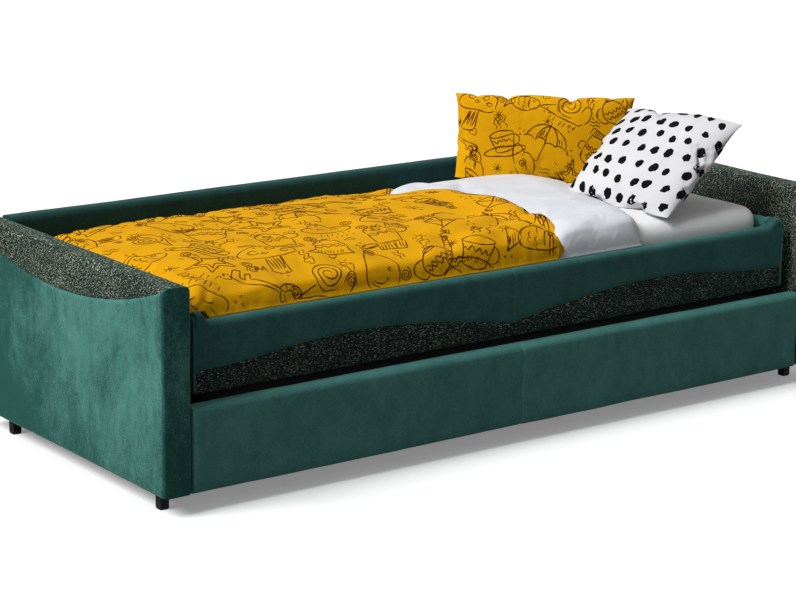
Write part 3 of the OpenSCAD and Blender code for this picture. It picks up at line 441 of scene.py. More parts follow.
def painted_shade_tone(look, tone):
    """Painted shade: the cover is darker towards the sofa bed's rear, towards the floor and on its front
    strip, where less light falls.
    """
    away = look.maths("MULTIPLY", look.along("Y", *LONG_SHADE), LONG_SHADE_SHARE)
    sides = look.maths("ADD", look.along("Y", *REAR_SHADE), away)
    strip = look.maths("MULTIPLY", look.along("Y", *STRIP_SHADE), STRIP_SHADE_SHARE)
    dim = look.maths("ADD", look.maths("ADD", sides, look.along("Z", *LOW_SHADE)), strip)
    lifted = look.maths("ADD", tone, PAINTED_SHADE_LIFT)
    return look.maths("SUBTRACT", lifted, look.maths("MULTIPLY", dim, PAINTED_SHADE_SHARE))


def tweed_look(name, scale, stretch, cover):
    """Dark woven ground with pale and green flecks of slub yarn. cover is from 0, none, to 1, all fleck."""
    look = Look(name, Roughness=0.92, Specular_IOR_Level=0.08, Sheen_Weight=0.12, Sheen_Roughness=0.5,
                Sheen_Tint=(0.45, 0.90, 0.72))
    flecks = look.noise(scale, stretch, 3, 0.75)
    greens = look.noise(150, (1, 1, 2.6), 3, 0.7)
    patches = look.noise(14, detail=2)
    weave = look.noise(900, (1, 1, 1.6), 1)
    ground = look.ramp(weave, (0.35, (0.0025, 0.004, 0.004)), (0.7, (0.010, 0.017, 0.016)))
    green = look.mix(look.ramp(greens, (0.54, 0), (0.66, 0.65)), ground, (0.035, 0.065, 0.055))
    level = look.maths("ADD", flecks, look.maths("MULTIPLY", patches, 0.08))
    start = 0.70 - 0.25 * cover
    pale = look.ramp(level, (start, 0), (start + 0.055, 1))
    colour = look.mix(pale, green, (0.50, 0.57, 0.43))
    return look.finished(colour, (weave, 0.5, 0.0006), (flecks, 0.6, 0.0012))


def cotton_look(name, dark, light, sheen=0.1, gloss=0.2):
    """Plain cotton with a fine weave, small creases and slight changes of tone."""
    look = Look(name, Roughness=0.85, Specular_IOR_Level=gloss, Sheen_Weight=sheen, Sheen_Roughness=0.5)
    tone = look.noise(9, detail=4, distortion=0.4)
    creases = look.noise(26, (1, 0.45, 1), 4, 0.6, 0.9)
    weave = look.mix(0.5, look.waves(1400, "X"), look.waves(1400, "Y"))
    colour = look.ramp(tone, (0.3, dark), (0.7, light))
    return look.finished(colour, (weave, 0.12, 0.0003), (creases, 0.22, 0.004))


def wood_look(name, dark, light, scale, stretch):
    """Wood with long grain, rings and a few darker streaks."""
    look = Look(name, Roughness=0.6)
    rings = look.noise(scale, stretch, 5, 0.65, 1.4)
    pores = look.noise(scale * 9, stretch, 2)
    between = [(a + b) / 2 for a, b in zip(dark, light)]
    base = look.ramp(rings, (0.3, dark), (0.48, light), (0.6, between), (0.7, light))
    return look.finished(look.mix(0.25, base, look.ramp(pores, (0.4, dark), (0.6, light)), "MULTIPLY"),
                         (pores, 0.25, 0.0004), rough=look.ramp(rings, (0.3, 0.65), (0.7, 0.5)))


def board_look(name):
    """Hardboard of pressed fibres."""
    look = Look(name, Roughness=0.7)
    fibres = look.noise(420, (1, 1, 0.6), 4, 0.75)
    base = look.ramp(fibres, (0.35, (0.10, 0.050, 0.022)), (0.65, (0.27, 0.150, 0.070)))
    blotches = look.ramp(look.noise(30), (0.3, (0.5, 0.45, 0.4)), (0.7, (1, 1, 1)))
    return look.finished(look.mix(0.3, base, blotches, "MULTIPLY"), (fibres, 0.3, 0.0005))


def shade_dark_ticking_look(name):
    """Near-black mattress ticking with a fine stripe and a soft weave; its dark colour is painted shade for
    the gap above the guest bed.
    """
    look = Look(name, Roughness=0.85, Specular_IOR_Level=0.2, Sheen_Weight=0.1)
    stripe = look.waves(55, "X")
    base = look.ramp(stripe, (0.42, (0.020, 0.021, 0.024)), (0.5, (0.060, 0.062, 0.068)),
                     (0.58, (0.024, 0.025, 0.029)))
    return look.finished(base, (look.noise(1100, detail=1), 0.3, 0.0004), (stripe, 0.2, 0.0006))


def grained_look(name, noises, colours, bumps, rough=(), **values):
    """Look whose colour and roughness follow its first noise. A bump starts with its noise's number."""
    look = Look(name, **values)
    made = [look.noise(*noise) for noise in noises]
    layers = [(made[k], strength, depth) for k, strength, depth in bumps]
    return look.finished(look.ramp(made[0], *colours), *layers,
                         rough=look.ramp(made[0], *rough) if rough else None)


def metal_look(name, colour, roughness, metallic=1.0):
    """Plated or powder-coated steel with fine scratches and handling marks."""
    return grained_look(name, [(60, (1, 1, 1), 4, 0.65), (600, (1, 0.05, 1), 2)],
                        [(0.3, [c * 0.8 for c in colour]), (0.7, colour)],
                        [(1, 0.15, 0.0002), (0, 0.1, 0.0004)],
                        [(0.3, roughness * 0.8), (0.7, roughness * 1.25)], Metallic=metallic)


def moulded_look(name, colour, roughness):
    """Moulded plastic, rubber or lacquer with a fine orange-peel grain."""
    return grained_look(name, [(45, (1, 1, 1), 5, 0.7), (1300, (1, 1, 1), 1)],
                        [(0.35, colour), (0.8, [c * 1.5 + 0.004 for c in colour])], [(1, 0.2, 0.0003)],
                        [(0.3, roughness), (0.7, min(roughness * 1.3, 1))], Specular_IOR_Level=0.4)


def felt_look(name):
    """Pressed felt of short fibres."""
    return grained_look(name, [(1800, (1, 1, 0.5), 4, 0.8)],
                        [(0.3, (0.010, 0.010, 0.011)), (0.7, (0.045, 0.045, 0.048))], [(0, 0.8, 0.0008)],
                        Roughness=1, Specular_IOR_Level=0.05)


def foam_look(name):
    """Foam with open pores."""
    return grained_look(name, [(520, (1, 1, 1), 3, 0.7)],
                        [(0.35, (0.60, 0.57, 0.50)), (0.6, (0.78, 0.76, 0.70))], [(0, 0.6, 0.001)],
                        Roughness=0.95, Specular_IOR_Level=0.1)


INK_BROWN = grained_look("brown_ink", [(700, (1, 1, 1), 2)],
                         [(0.3, (0.0525, 0.0119, 0.0021)), (0.75, (0.120, 0.0272, 0.0048))],
                         [(0, 0.2, 0.0003)], Roughness=0.9, Specular_IOR_Level=0.1)
INK_BLACK = grained_look("black_ink", [(260, (1, 1, 0.45), 4, 0.7, 0.8)],
                         [(0.30, 0.002), (0.62, 0.004), (0.70, 0.05), (0.78, 0.30)], [(0, 0.2, 0.0004)],
                         Roughness=0.85, Specular_IOR_Level=0.05)

# Colours are linear. The mustard is followed by its sheen and gloss
TEAL_DARK = (0.044, 0.154, 0.140)
SHADED_LIGHT = (0.045, 0.140, 0.130)
MUSTARD_COTTON = ((0.72, 0.345, 0.002), (0.81, 0.400, 0.003), 0.015, 0.05)
SLOT_LOOKS = {
    "pine": (wood_look, (0.33, 0.19, 0.08), (0.62, 0.43, 0.22), 60, (0.12, 1, 1)),
    "hardboard": (board_look,),
    "teal_velvet": (velvet_look, TEAL_DARK, (0.088, 0.258, 0.234)),
    "tweed": (tweed_look, 200, (1, 1, 2.1), 0.42),
    "welt": (velvet_look, SHADED_LIGHT, TEAL_DARK),
    "zinc_steel": (metal_look, (0.62, 0.63, 0.64), 0.38),
    "foot_black": (moulded_look, (0.008, 0.008, 0.009), 0.42),
    "felt": (felt_look,),
    "beech": (wood_look, (0.45, 0.28, 0.14), (0.68, 0.50, 0.30), 90, (1, 0.08, 1)),
    "holder_plastic": (moulded_look, (0.014, 0.014, 0.015), 0.5),
    "bracket_steel": (metal_look, (0.045, 0.046, 0.050), 0.55, 0.6),
    "foam": (foam_look,),
    "sheet": (cotton_look, (0.82, 0.83, 0.83), (0.88, 0.885, 0.885)),
    "quilt_white": (cotton_look, (0.67, 0.695, 0.745), (0.74, 0.765, 0.81)),
    "duvet_mustard": (cotton_look, *MUSTARD_COTTON),
    "print_mustard": (cotton_look, *MUSTARD_COTTON),
    "dotted_white": (cotton_look, (0.62, 0.62, 0.64), (0.70, 0.695, 0.71)),
    "ticking": (shade_dark_ticking_look,),
    "fork_steel": (metal_look, (0.50, 0.51, 0.53), 0.42),
    "wheel_grey": (moulded_look, (0.075, 0.078, 0.082), 0.55),
}
LOOKS = {slot: make(slot, *values) for slot, (make, *values) in SLOT_LOOKS.items()}
# Arms' velvet, with painted shade towards the rear, the floor and the front strip
ARM_LOOK = velvet_look("arm_velvet", (0.017, 0.084, 0.072), (0.100, 0.290, 0.246), 0.3, True)

# Looks of single covers set apart from the rest of their slot. The box front's velvet panel and the back's
# velvet are darker copies of the velvet, as painted shade; the arms' velvet carries painted shade; the
# front's tweed panel has finer rows and fewer pale flecks, partly painted shade
OWN_LOOKS = {
    # Finer rows of flecks, which the panel has, and fewer pale flecks, which darken it as painted shade
    "box_front_tweed_panel": tweed_look("tweed_rows", 240, (0.45, 1, 2.6), 0.30),
    "left_arm_velvet": ARM_LOOK,
    "right_arm_velvet": ARM_LOOK,
    # Darker copy of the velvet: painted shade on the set-back panel
    "box_front_velvet_panel": velvet_look("painted_shade_velvet", (0.021, 0.082, 0.076), SHADED_LIGHT, 0.3),
    # Much darker copy of the velvet: painted shade on the back's front face
    "back_velvet": velvet_look("painted_deep_shade_velvet", (0.007, 0.030, 0.030), (0.016, 0.060, 0.058), 0.2),
}

# Each solid of the frame has the look of its slot
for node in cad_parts.values():
    for k, material in enumerate(node.data.materials):
        node.data.materials[k] = LOOKS[material.name]


# The made-up bed as a field of heights, as in the solids' source

CROWN_IN = (BED_REAR - BED_FRONT) / CROWN_SHARE
RAISED_X = BED_HALF - EDGE_R * (1 - math.cos(QUARTER / 2)) - FIT
HEM_BULGE = 0.45
FINE_COUNT = 400
SMOOTH_ROUNDS = 3


def roll(distance, reach):
    """Quarter of a circle, from 0 at the edge to 1 at its reach."""
    return np.sqrt(1 - (1 - np.clip(distance / reach, 0, 1)) ** 2)


def slope(distance, reach):
    """Soft rise from 0 at the edge to 1 at its reach."""
    return np.sin(QUARTER * np.clip(distance / reach, 0, 1)) ** 2


def cushion_z(inset, top, edge_r, crown, reach):
    """Height of a crowned cushion at a distance from its side."""
    edge = top - crown - edge_r * (1 - roll(inset, edge_r))
    broad = top - crown * (1 - np.clip((inset - edge_r) / (reach - edge_r), 0, 1)) ** 2
    return np.where(inset < edge_r, edge, broad)


def bed_z(inset):
    """Height of the mattress at a distance from its side."""
    return np.where(inset < 0, 0, cushion_z(inset, BED_TOP, EDGE_R, CROWN, CROWN_IN))


def insets(x, y):
    """Distances from the mattress's ends and from its sides."""
    return BED_HALF - np.abs(x), np.minimum(y - BED_FRONT, BED_REAR - y)


def under_z(x, y):
    """What the bedding lies on: the mattress, or the box beyond it."""
    beyond = np.where(np.abs(x) > RAISED_X, END_TOP, BOX_TOP)
    return np.maximum(np.minimum(*(bed_z(inset) for inset in insets(x, y))), beyond) + FIT


def broad_z(x, y):
    """The mattress without the rounding of its edges."""
    return FIT + np.minimum(*(bed_z(np.maximum(inset, EDGE_R)) for inset in insets(x, y)))


def edge_y(y):
    """Share of the bedding's thickness near its front and rear edges."""
    return roll(y - LAY_FRONT, FRONT_FULL) * slope(LAY_REAR - y, REAR_ROLL)


def hem_x(y):
    """Curved right end of the duvet."""
    bow = (y - HEM_TIP[1]) ** 2 / HEM_BOW
    return HEM_TIP[0] - bow + HEM_FLARE_SHARE * np.maximum(0, y - HEM_TURN_Y)


def quilt_x(y):
    """Right end of the quilt."""
    return QUILT_END_X + QUILT_SWEEP_SHARE * (y - LAY_FRONT)


def smoothed(heights):
    """Heights of a grid with small steps smoothed away inside its border."""
    heights = heights.copy()
    for _ in range(SMOOTH_ROUNDS):
        inner = heights[1:-1, 1:-1]
        around = heights[:-2, 1:-1] + heights[2:, 1:-1] + heights[1:-1, :-2] + heights[1:-1, 2:]
        heights[1:-1, 1:-1] = (inner * 4 + around) / 8
    return heights


def laid_body(top, base):
    """Points and faces of a closed sheet body between two grids, with a rounded hem."""
    n, m = top.shape[:2]
    ring = border_of(n, m)
    top_points, base_points = top.reshape(-1, 3), base.reshape(-1, 3)
    upper, lower = top_points[ring], base_points[ring]
    along = np.roll(upper, -1, 0) - np.roll(upper, 1, 0)
    out = unit(np.stack([along[:, 1], -along[:, 0], np.zeros(len(ring))], -1))
    hem = (upper + lower) / 2 + out * np.linalg.norm(upper - lower, axis=1, keepdims=True) * HEM_BULGE
    count = n * m
    hem_ring = 2 * count + np.arange(len(ring))
    faces = np.concatenate([grid_faces(n, m), grid_faces(n, m, count, True), ring_faces(hem_ring, ring),
                            ring_faces(ring + count, hem_ring)])
    return np.concatenate([top_points, base_points, hem]), faces


def laid_grid(counts, left, right, upper):
    """Top and base grids between two ends, with evenly spaced points over the rounded edges."""
    n, m = counts
    y = np.linspace(LAY_FRONT, LAY_REAR, FINE_COUNT)
    middle = np.full_like(y, (left(0.0) + right(0.0)) / 2)
    rows = LAY_FRONT + (LAY_REAR - LAY_FRONT) * even_shares(np.stack([y, upper(middle, y)], -1), m)
    x = np.linspace(left(0.0), right(0.0), FINE_COUNT)
    shares = even_shares(np.stack([x, upper(x, np.zeros_like(x))], -1), n)
    yy = np.broadcast_to(rows, (n, m))
    xx = left(yy) + (right(yy) - left(yy)) * shares[:, None]
    return np.stack([xx, yy, smoothed(upper(xx, yy))], -1), np.stack([xx, yy, under_z(xx, yy)], -1)


# Cells of the grids along X and Y, and the crumpling by the simulation
DUVET_CELLS = (92, 60)
QUILT_CELLS = (30, 60)
DUVET_GROWTH = 0.03
QUILT_GROWTH = 0.006
CRUMPLE_SHARES = (0.3, 0.3, 1)
CRUMPLE_PRESSURE = 2
CRUMPLE_CAP = 0.014
LEAST_HEM_SHARE = 0.6

# Folds and hollows of the duvet
WIDE_FOLD = (0.009, 0.24, 3)
FINE_FOLD = (0.007, 0.11, 4)
DUVET_VALLEY = (3.4, 0.17, 5)
DUVET_CREASE = 0.014
PUFF = (0.010, 0.05, 0.07)
REAR_WAVE = (0.010, 0.19, 6)
REAR_DIP = (0.013, 0.08, 0.09)
REAR_LOWER = 0.003
HOLLOW = 0.022
HOLLOW_PLACE = (0.08, 0.06)
HOLLOW_REACH = (0.07, 0.10)
HEM_SHARE = 0.82

# Folds of the quilt, which the dotted pillow presses flat
LOADED_Y = -0.264
QUILT_VALLEY = (3.0, 0.15, 9)
QUILT_CREASE = 0.017
QUILT_FOLD = (0.012, 0.14, 8)
QUILT_LOOSE = 0.004


def folds(x, y, height, cell, seed):
    """Smooth hills and hollows, at most of a height."""
    return height * hills(x, y, cell, seed)


def valleys(x, y, narrow, cell, seed):
    """1 along winding lines and 0 away from them."""
    return 1 - np.minimum(1, narrow * np.abs(hills(x, y, cell, seed)))


def near(distance, place, reach):
    """1 at a place and 0 well away from it."""
    return np.exp(-((distance - place) / reach) ** 2)


def duvet_upper(x, y):
    """Height of the duvet's upper side."""
    low = under_z(x, y) + HEM_T
    from_hem, from_rear = hem_x(y) - x, LAY_REAR - y
    loose = folds(x, y * 1.3, *WIDE_FOLD) + folds(x + y, y - x, *FINE_FOLD)
    winding = valleys(x * 0.9 + y * 0.4, y * 0.7 - x * 0.3, *DUVET_VALLEY)
    creases = DUVET_CREASE * winding * (0.25 + soft_step(x / 0.5 + 0.6))
    puff = PUFF[0] * near(from_hem, *PUFF[1:])
    rear = (folds(x, 0 * y, *REAR_WAVE) - REAR_DIP[0]) * near(from_rear, *REAR_DIP[1:])
    off = [(x - HOLLOW_PLACE[0]) / HOLLOW_REACH[0], (from_rear - HOLLOW_PLACE[1]) / HOLLOW_REACH[1]]
    rear = rear - HOLLOW * np.exp(-off[0] ** 2 - off[1] ** 2) - REAR_LOWER
    at_hem = HEM_SHARE + (1 - HEM_SHARE) * roll(from_hem, HEM_ROLL)
    share = edge_y(y) * roll(x - LAY_LEFT, FRONT_ROLL) * at_hem
    return low + (broad_z(x, y) + DUVET_T + loose - creases + puff + rear - low) * share


def quilt_upper(x, y):
    """Height of the quilt's upper side."""
    low = under_z(x, y) + HEM_T
    loaded = soft_step((y - LOADED_Y) / HEM_ROLL) * soft_step((x - HEM_TIP[0]) / HEM_ROLL)
    winding = valleys(x * 0.7 + y * 0.7, y * 0.6 - x, *QUILT_VALLEY)
    loose = folds(x, y, *QUILT_FOLD) - QUILT_CREASE * winding
    thick = QUILT_T + (QUILT_PRESSED_T - QUILT_T) * loaded + (loose + QUILT_LOOSE) * (1 - loaded)
    share = edge_y(y) * roll(quilt_x(y) - x, HEM_ROLL) * (1 + 2 * roll(x - hem_x(y), 2 * HEM_ROLL)) / 3
    return low + (broad_z(x, y) + thick - low) * share


def bedding(name, node, slot, counts, left, right, upper, growth):
    """A duvet or quilt, crumpled by a cloth simulation. Returns its upper surface."""
    top, base = laid_grid(counts, left, right, upper)
    points, faces = laid_body(top, base)
    n, m = counts
    held = np.setdiff1d(np.arange(len(points)), np.arange(n * m).reshape(n, m)[1:-1, 1:-1].ravel())
    moved = simulate(points, faces, held, CRUMPLE_PRESSURE, growth, CRUMPLE_CAP)
    shape = top + (moved[:n * m].reshape(n, m, 3) - top) * CRUMPLE_SHARES
    shape[..., 2] = np.maximum(shape[..., 2], base[..., 2] + HEM_T * LEAST_HEM_SHARE)
    surface = Surface(Surface(shape).refined(2))
    piece = add_mesh(name, *laid_body(surface.grid, Surface(base).refined(2)), LOOKS[slot])
    fit_out(piece, node)
    return surface


duvet_surface = bedding("duvet_cover", "duvet", "duvet_mustard", DUVET_CELLS, lambda y: LAY_LEFT + 0 * y,
                        hem_x, duvet_upper, DUVET_GROWTH)
bedding("quilt_cover", "white_quilt", "quilt_white", QUILT_CELLS, lambda y: hem_x(y) + FIT, quilt_x,
        quilt_upper, QUILT_GROWTH)


# Covers, as padded slabs with seams

ARM_T = 0.080
ARM_EDGE_R = 0.020
ARM_SIDE_R = 0.008
STRIP_T = 0.009
STRIP_SEAM_UP = 0.02
SMILE_LOW = 0.472
SMILE_R = 1.470
SMILE_BACK = 0.040
BACK_EDGE_R = 0.018
BOX_CORNER_R = 0.018
CORNER_FULL = 0.006
LIP_R = 0.012
END_EDGE_R = 0.015
BOX_SIDE_R = 0.005
RIM_T = 0.037
RISE_RUN = 0.026
WAVE_CREST = 0.089
WAVE_CUSP = 0.035
WAVE_END = 0.057
WAVE_CREST_X = 0.520
TRUNDLE_LIP_R = 0.016
COVER_T = 0.004
COVER_CROWN = 0.0012

# Distances between the points of a cover
STEP = 0.02
UPPER_STEP = STEP * 0.45
CLOSE_STEPS = (0.002, 0.005, 0.009, 0.014)
CLEAR_OF_SEAM = 1.3 * CLOSE_STEPS[-1]
CORNER_STEPS = (0.007, 0.010, 0.0145)

# Seams, pulls beside them, gathers and unevenness of the cloth
GROOVE_DEPTH = 0.0026
GROOVE_WIDTH = 0.0045
UPRIGHT_SHARE = 0.6
PUCKER_DEPTH = 0.0007
PUCKER_LENGTH = 0.0135
PUCKER_REACH = 0.016
PUCKER_DRIFT = (4, 0.06)
PUCKER_UNEVEN = (0.6, 0.02)
UPRIGHT_PUCKER_SHARE = 0.5
UNEVEN = (0.0009, 0.15)
FINE_UNEVEN = (0.0004, 0.05)
CREASE_Y = 0.180
CREASE_LEAN = 0.02
CREASE_DEPTH = 0.0011
CREASE_WIDTH = 0.006
GATHER_DEPTH = 0.0034
GATHER_LENGTH = 0.013
GATHER_IN = 0.06
GATHER_FADE = 0.02
END_GATHER_DEPTH = 0.0032
END_GATHER_LENGTH = 0.017
END_GATHER_LEAN = 30
END_GATHER_IN = (0.10, 0.03)
END_GATHER_FADE = (0.04, 0.02)


def spread(start, end, step=STEP, seams=()):
    """Places between two ends, closer together beside seams."""
    even = np.linspace(start, end, max(2, round((end - start) / step) + 1))
    kept = [e for e in even[1:-1] if all(abs(e - m) > CLEAR_OF_SEAM for m in seams)]
    beside = [m + side * c for m in seams for c in CLOSE_STEPS for side in (-1, 1)]
    return np.array(sorted({start, end, *kept, *[m for m in (*seams, *beside) if start < m < end]}))


def end_stations(start, end, side_r, seams=()):
    """Places along a slab, with its rounded ends."""
    arc = side_r * (1 - np.cos(np.linspace(0, QUARTER, 5)))[:-1]
    middle = spread(start + side_r, end - side_r, STEP, seams)
    return np.concatenate([start + arc, middle, (end - arc)[::-1]])


class Slab:
    """Padded slab as grids of points (s, t, z): s runs along it, t through it from its shown face."""

    across = 7

    def __init__(self, stations, faces, low, high, side_r, top_r, seam=None):
        s = np.asarray(stations)[:, None]
        high = np.broadcast_to(high(s) if callable(high) else high, s.shape)
        arc_low, arc_high = QUARTER * side_r, QUARTER * top_r
        flat = high - low - side_r - top_r
        total = arc_low + flat + arc_high
        if seam is None:
            usual = float(np.median(total))
            rows = np.concatenate([np.linspace(0, arc_low, 4)[:-1], spread(arc_low, usual - arc_high),
                                   np.linspace(usual - arc_high, usual, 7)[1:]])
            path = total * (rows / usual)
            self.seam_row = None
        else:
            z = seam(s)
            turn = np.arcsin(np.clip((z - high + top_r) / top_r, 0, 1))
            place = arc_low + np.minimum(z - low - side_r, flat) + top_r * turn
            below, above = float(np.median(place)), float(np.median(total - place))
            lower = np.concatenate([[0, arc_low / 2], spread(arc_low, below, seams=(below,))]) / below
            upper = spread(0, above, UPPER_STEP, (0,)) / above
            path = np.concatenate([place * lower, place + (total - place) * upper[1:]], axis=1)
            self.seam_row = len(lower) - 1
        a, b = np.clip(path / side_r, 0, QUARTER), np.clip((path - arc_low - flat) / top_r, 0, QUARTER)
        z = low + side_r * (1 - np.cos(a)) + np.clip(path - arc_low, 0, flat) + top_r * np.sin(b)
        depth = side_r * (1 - np.sin(a)) + top_r * (1 - np.cos(b))
        from_end = np.minimum(s - stations[0], stations[-1] - s)
        depth = np.maximum(depth, side_r * (1 - roll(from_end, side_r)))
        inward = math.copysign(1, faces[1] - faces[0])
        s = np.broadcast_to(s, z.shape)
        shown = np.stack([s, faces[0] + inward * depth, z], -1)
        hidden = np.stack([s, faces[1] - inward * depth, z], -1)
        share = np.linspace(0, 1, self.across)[:, None]

        def bridge(first, second):
            return first[:, None] + (second - first)[:, None] * share

        self.grids = {
            "shown": shown, "hidden": hidden[:, ::-1], "top": bridge(shown[:, -1], hidden[:, -1]),
            "under": bridge(hidden[:, 0], shown[:, 0]), "start": bridge(hidden[0], shown[0])[::-1],
            "end": bridge(shown[-1], hidden[-1])[::-1],
        }

    def mesh(self, part):
        """Points, faces and a label for each face. part gives a face's label."""
        points, faces, labels, start = [], [], [], 0
        for name, grid in self.grids.items():
            n, m = grid.shape[:2]
            cells = (grid[:-1, :-1] + grid[1:, :-1] + grid[:-1, 1:] + grid[1:, 1:]) / 4
            row = np.broadcast_to(np.arange(m - 1), (n - 1, m - 1))
            above = row >= self.seam_row if name == "shown" and self.seam_row is not None else row < 0
            points.append(grid.reshape(-1, 3))
            faces.append(grid_faces(n, m, start))
            labels.append(np.broadcast_to(part(name, cells, above), (n - 1, m - 1)).ravel())
            start += n * m
        points, faces, labels = np.concatenate(points), np.concatenate(faces), np.concatenate(labels)
        _, first, number = np.unique(np.round(points, 6), axis=0, return_index=True, return_inverse=True)
        return points[first], number.ravel()[faces], labels


def normals_of(points, faces):
    """Smooth outward direction at each point."""
    corners = points[faces]
    across = np.cross(corners[:, 2] - corners[:, 0], corners[:, 3] - corners[:, 1])
    total = np.zeros_like(points)
    for k in range(4):
        np.add.at(total, faces[:, k], across)
    return unit(total)


def groove(distance):
    """Depth of the cloth at a distance from a seam."""
    return GROOVE_DEPTH * np.exp(-(distance / GROOVE_WIDTH) ** 2)


def pucker(place, distance, seed):
    """Small pulls of the cloth beside a seam."""
    wave = np.sin(place / PUCKER_LENGTH * math.pi + folds(place, place * 0, *PUCKER_DRIFT, seed))
    uneven = wave + folds(place, distance, *PUCKER_UNEVEN, seed + 1)
    return PUCKER_DEPTH * uneven * np.exp(-np.abs(distance) / PUCKER_REACH)


def upholster(names, slab, part, along, depth, seed, crown=COVER_CROWN, body="sofa_bed"):
    """Covers of a slab, one piece for each label. names holds (piece, slot, node) for each label.

    along is the axis of s, and depth gives how far the cloth is drawn in by seams and gathers.
    """
    points, faces, labels = slab.mesh(part)
    normals = normals_of(points, faces)
    s, t, z = points.T
    if np.einsum("ij,ij->", normals, points - points.mean(0)) < 0:
        normals, faces = -normals, faces[:, ::-1]
    uneven = folds(s + t, z, *UNEVEN, seed) + folds(s, z + t, *FINE_UNEVEN, seed + 1)
    points = points + normals * (crown + uneven - depth(s, t, z))[:, None]
    if along == "y":
        points, faces = points[:, [1, 0, 2]], faces[:, ::-1]
    for label, (name, slot, node) in enumerate(names):
        chosen = faces[labels == label]
        used, number = np.unique(chosen, return_inverse=True)
        piece = add_mesh(name, points[used], number.reshape(chosen.shape), OWN_LOOKS.get(name, LOOKS[slot]))
        merge_close(piece)
        thicken(piece, COVER_T)
        fit_out(piece, node, body)


def smile_z(y):
    """Height of the curved seam on an arm's outer face."""
    return SMILE_LOW + SMILE_R - np.sqrt(SMILE_R ** 2 - (y - SMILE_BACK) ** 2)


def cover_arm(side, seed):
    """Velvet below the curved seam and on the front and back strips, tweed elsewhere."""
    low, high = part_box(f"{side}_arm_velvet_cover")
    outer, inner = (low.x, low.x + ARM_T) if side == "left" else (high.x, high.x - ARM_T)
    seams = (low.y + STRIP_T, high.y - STRIP_T)
    slab = Slab(end_stations(low.y, high.y, ARM_SIDE_R, seams), (outer, inner), low.z,
                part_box(f"{side}_arm_tweed_cover")[1].z, ARM_SIDE_R, ARM_EDGE_R, smile_z)

    def part(face, cells, above):
        between = (cells[..., 0] > seams[0]) & (cells[..., 0] < seams[1])
        tweed = {"shown": above, "top": True, "hidden": cells[..., 2] > low.z + ARM_SIDE_R}.get(face, False)
        return (between & tweed).astype(int)

    def depth(s, t, z):
        shown = np.abs(t - outer) < np.abs(t - inner)
        strip = np.minimum(np.abs(s - seams[0]), np.abs(s - seams[1]))
        curve = np.where(shown, np.abs(z - smile_z(s)), 1)
        upright = CREASE_DEPTH * near(s - CREASE_Y, CREASE_LEAN * z, CREASE_WIDTH) * (z < smile_z(s))
        strips = groove(strip) * (z > low.z + STRIP_SEAM_UP)
        return np.maximum(strips, groove(curve)) - pucker(s, curve, seed) + upright

    names = [(f"{side}_arm_velvet", "teal_velvet", f"{side}_arm_velvet_cover"),
             (f"{side}_arm_tweed", "tweed", f"{side}_arm_tweed_cover")]
    upholster(names, slab, part, "y", depth, seed)


def front_top(x):
    """Top of the box's front, which sweeps up to the end boards and rounds down at its corners."""
    half = box_high.x
    start = half - RIM_T - RISE_RUN / 2
    rise = (1 - np.cos(math.pi * np.clip((np.abs(x) - start) / RISE_RUN, 0, 1))) / 2
    turn = BOX_CORNER_R * (1 - roll(half - np.abs(x), BOX_CORNER_R))
    return BOX_TOP + (END_TOP + CORNER_FULL - BOX_TOP) * rise - turn


def wave_z(x):
    """Height of the wave seam on the box's front."""
    low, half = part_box("box_front_tweed")[0].z, box_high.x
    a = np.abs(x)
    rise = WAVE_CUSP + (WAVE_CREST - WAVE_CUSP) * np.sin(QUARTER * np.minimum(a / WAVE_CREST_X, 1))
    fall = np.clip((a - WAVE_CREST_X) / (half - WAVE_CREST_X), 0, 1)
    swell = WAVE_END + (WAVE_CREST - WAVE_END) * (1 + np.cos(math.pi * fall)) / 2
    return low + np.where(a < WAVE_CREST_X, rise, swell)


def cover_box_front(seed):
    """Velvet above the wave seam and tweed below it, with an upright seam in the middle."""
    half, front = box_high.x, box_low.y
    at_corners = [side * (half - np.array(CORNER_STEPS)) for side in (-1, 1)]
    stations = np.concatenate([end_stations(-half, half, BOX_SIDE_R, (0.0,)), *at_corners])
    slab = Slab(np.unique(np.round(stations, 6)), (front, front + RIM_T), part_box("box_front_tweed")[0].z,
                front_top, BOX_SIDE_R, LIP_R, wave_z)

    def part(face, cells, above):
        if face == "shown":
            return (~above).astype(int)
        return (cells[..., 2] < wave_z(cells[..., 0])).astype(int)

    def depth(s, t, z):
        shown = t < front + RIM_T / 2
        curve = np.where(shown, np.abs(z - wave_z(s)), 1)
        upright = np.where(shown, np.abs(s), 1)
        ripples = GATHER_DEPTH * (1 + np.sin(s * 2 * math.pi / GATHER_LENGTH))
        ripples = ripples * soft_step((np.abs(s) - half + GATHER_IN) / GATHER_FADE)
        gathers = ripples * soft_step((z - BOX_TOP + GATHER_FADE) / GATHER_FADE)
        return (np.maximum(groove(curve), UPRIGHT_SHARE * groove(upright)) + gathers
                - pucker(s, curve, seed) - UPRIGHT_PUCKER_SHARE * pucker(z, upright, seed + 5))

    names = [("box_front_velvet_panel", "teal_velvet", "box_front_velvet"),
             ("box_front_tweed_panel", "tweed", "box_front_tweed")]
    upholster(names, slab, part, "x", depth, seed)


def cover_plain(name, node, along, radii, seed, depth=None, crown=0, body="sofa_bed", seams=(), turned=False):
    """Velvet cover in one piece, with radii for its sides and its top.

    It shows its side with the lower X or Y, or the opposite one if it is turned.
    """
    low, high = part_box(node)
    ends, faces = (low.x, high.x), (low.y, high.y)
    if along == "y":
        ends, faces = faces, ends
    if turned:
        faces = faces[::-1]
    slab = Slab(end_stations(*ends, radii[0], seams), faces, low.z, high.z, *radii)
    upholster([(name, "teal_velvet", node)], slab, lambda face, cells, above: 0, along,
              depth or (lambda s, t, z: 0 * s), seed, crown, body)


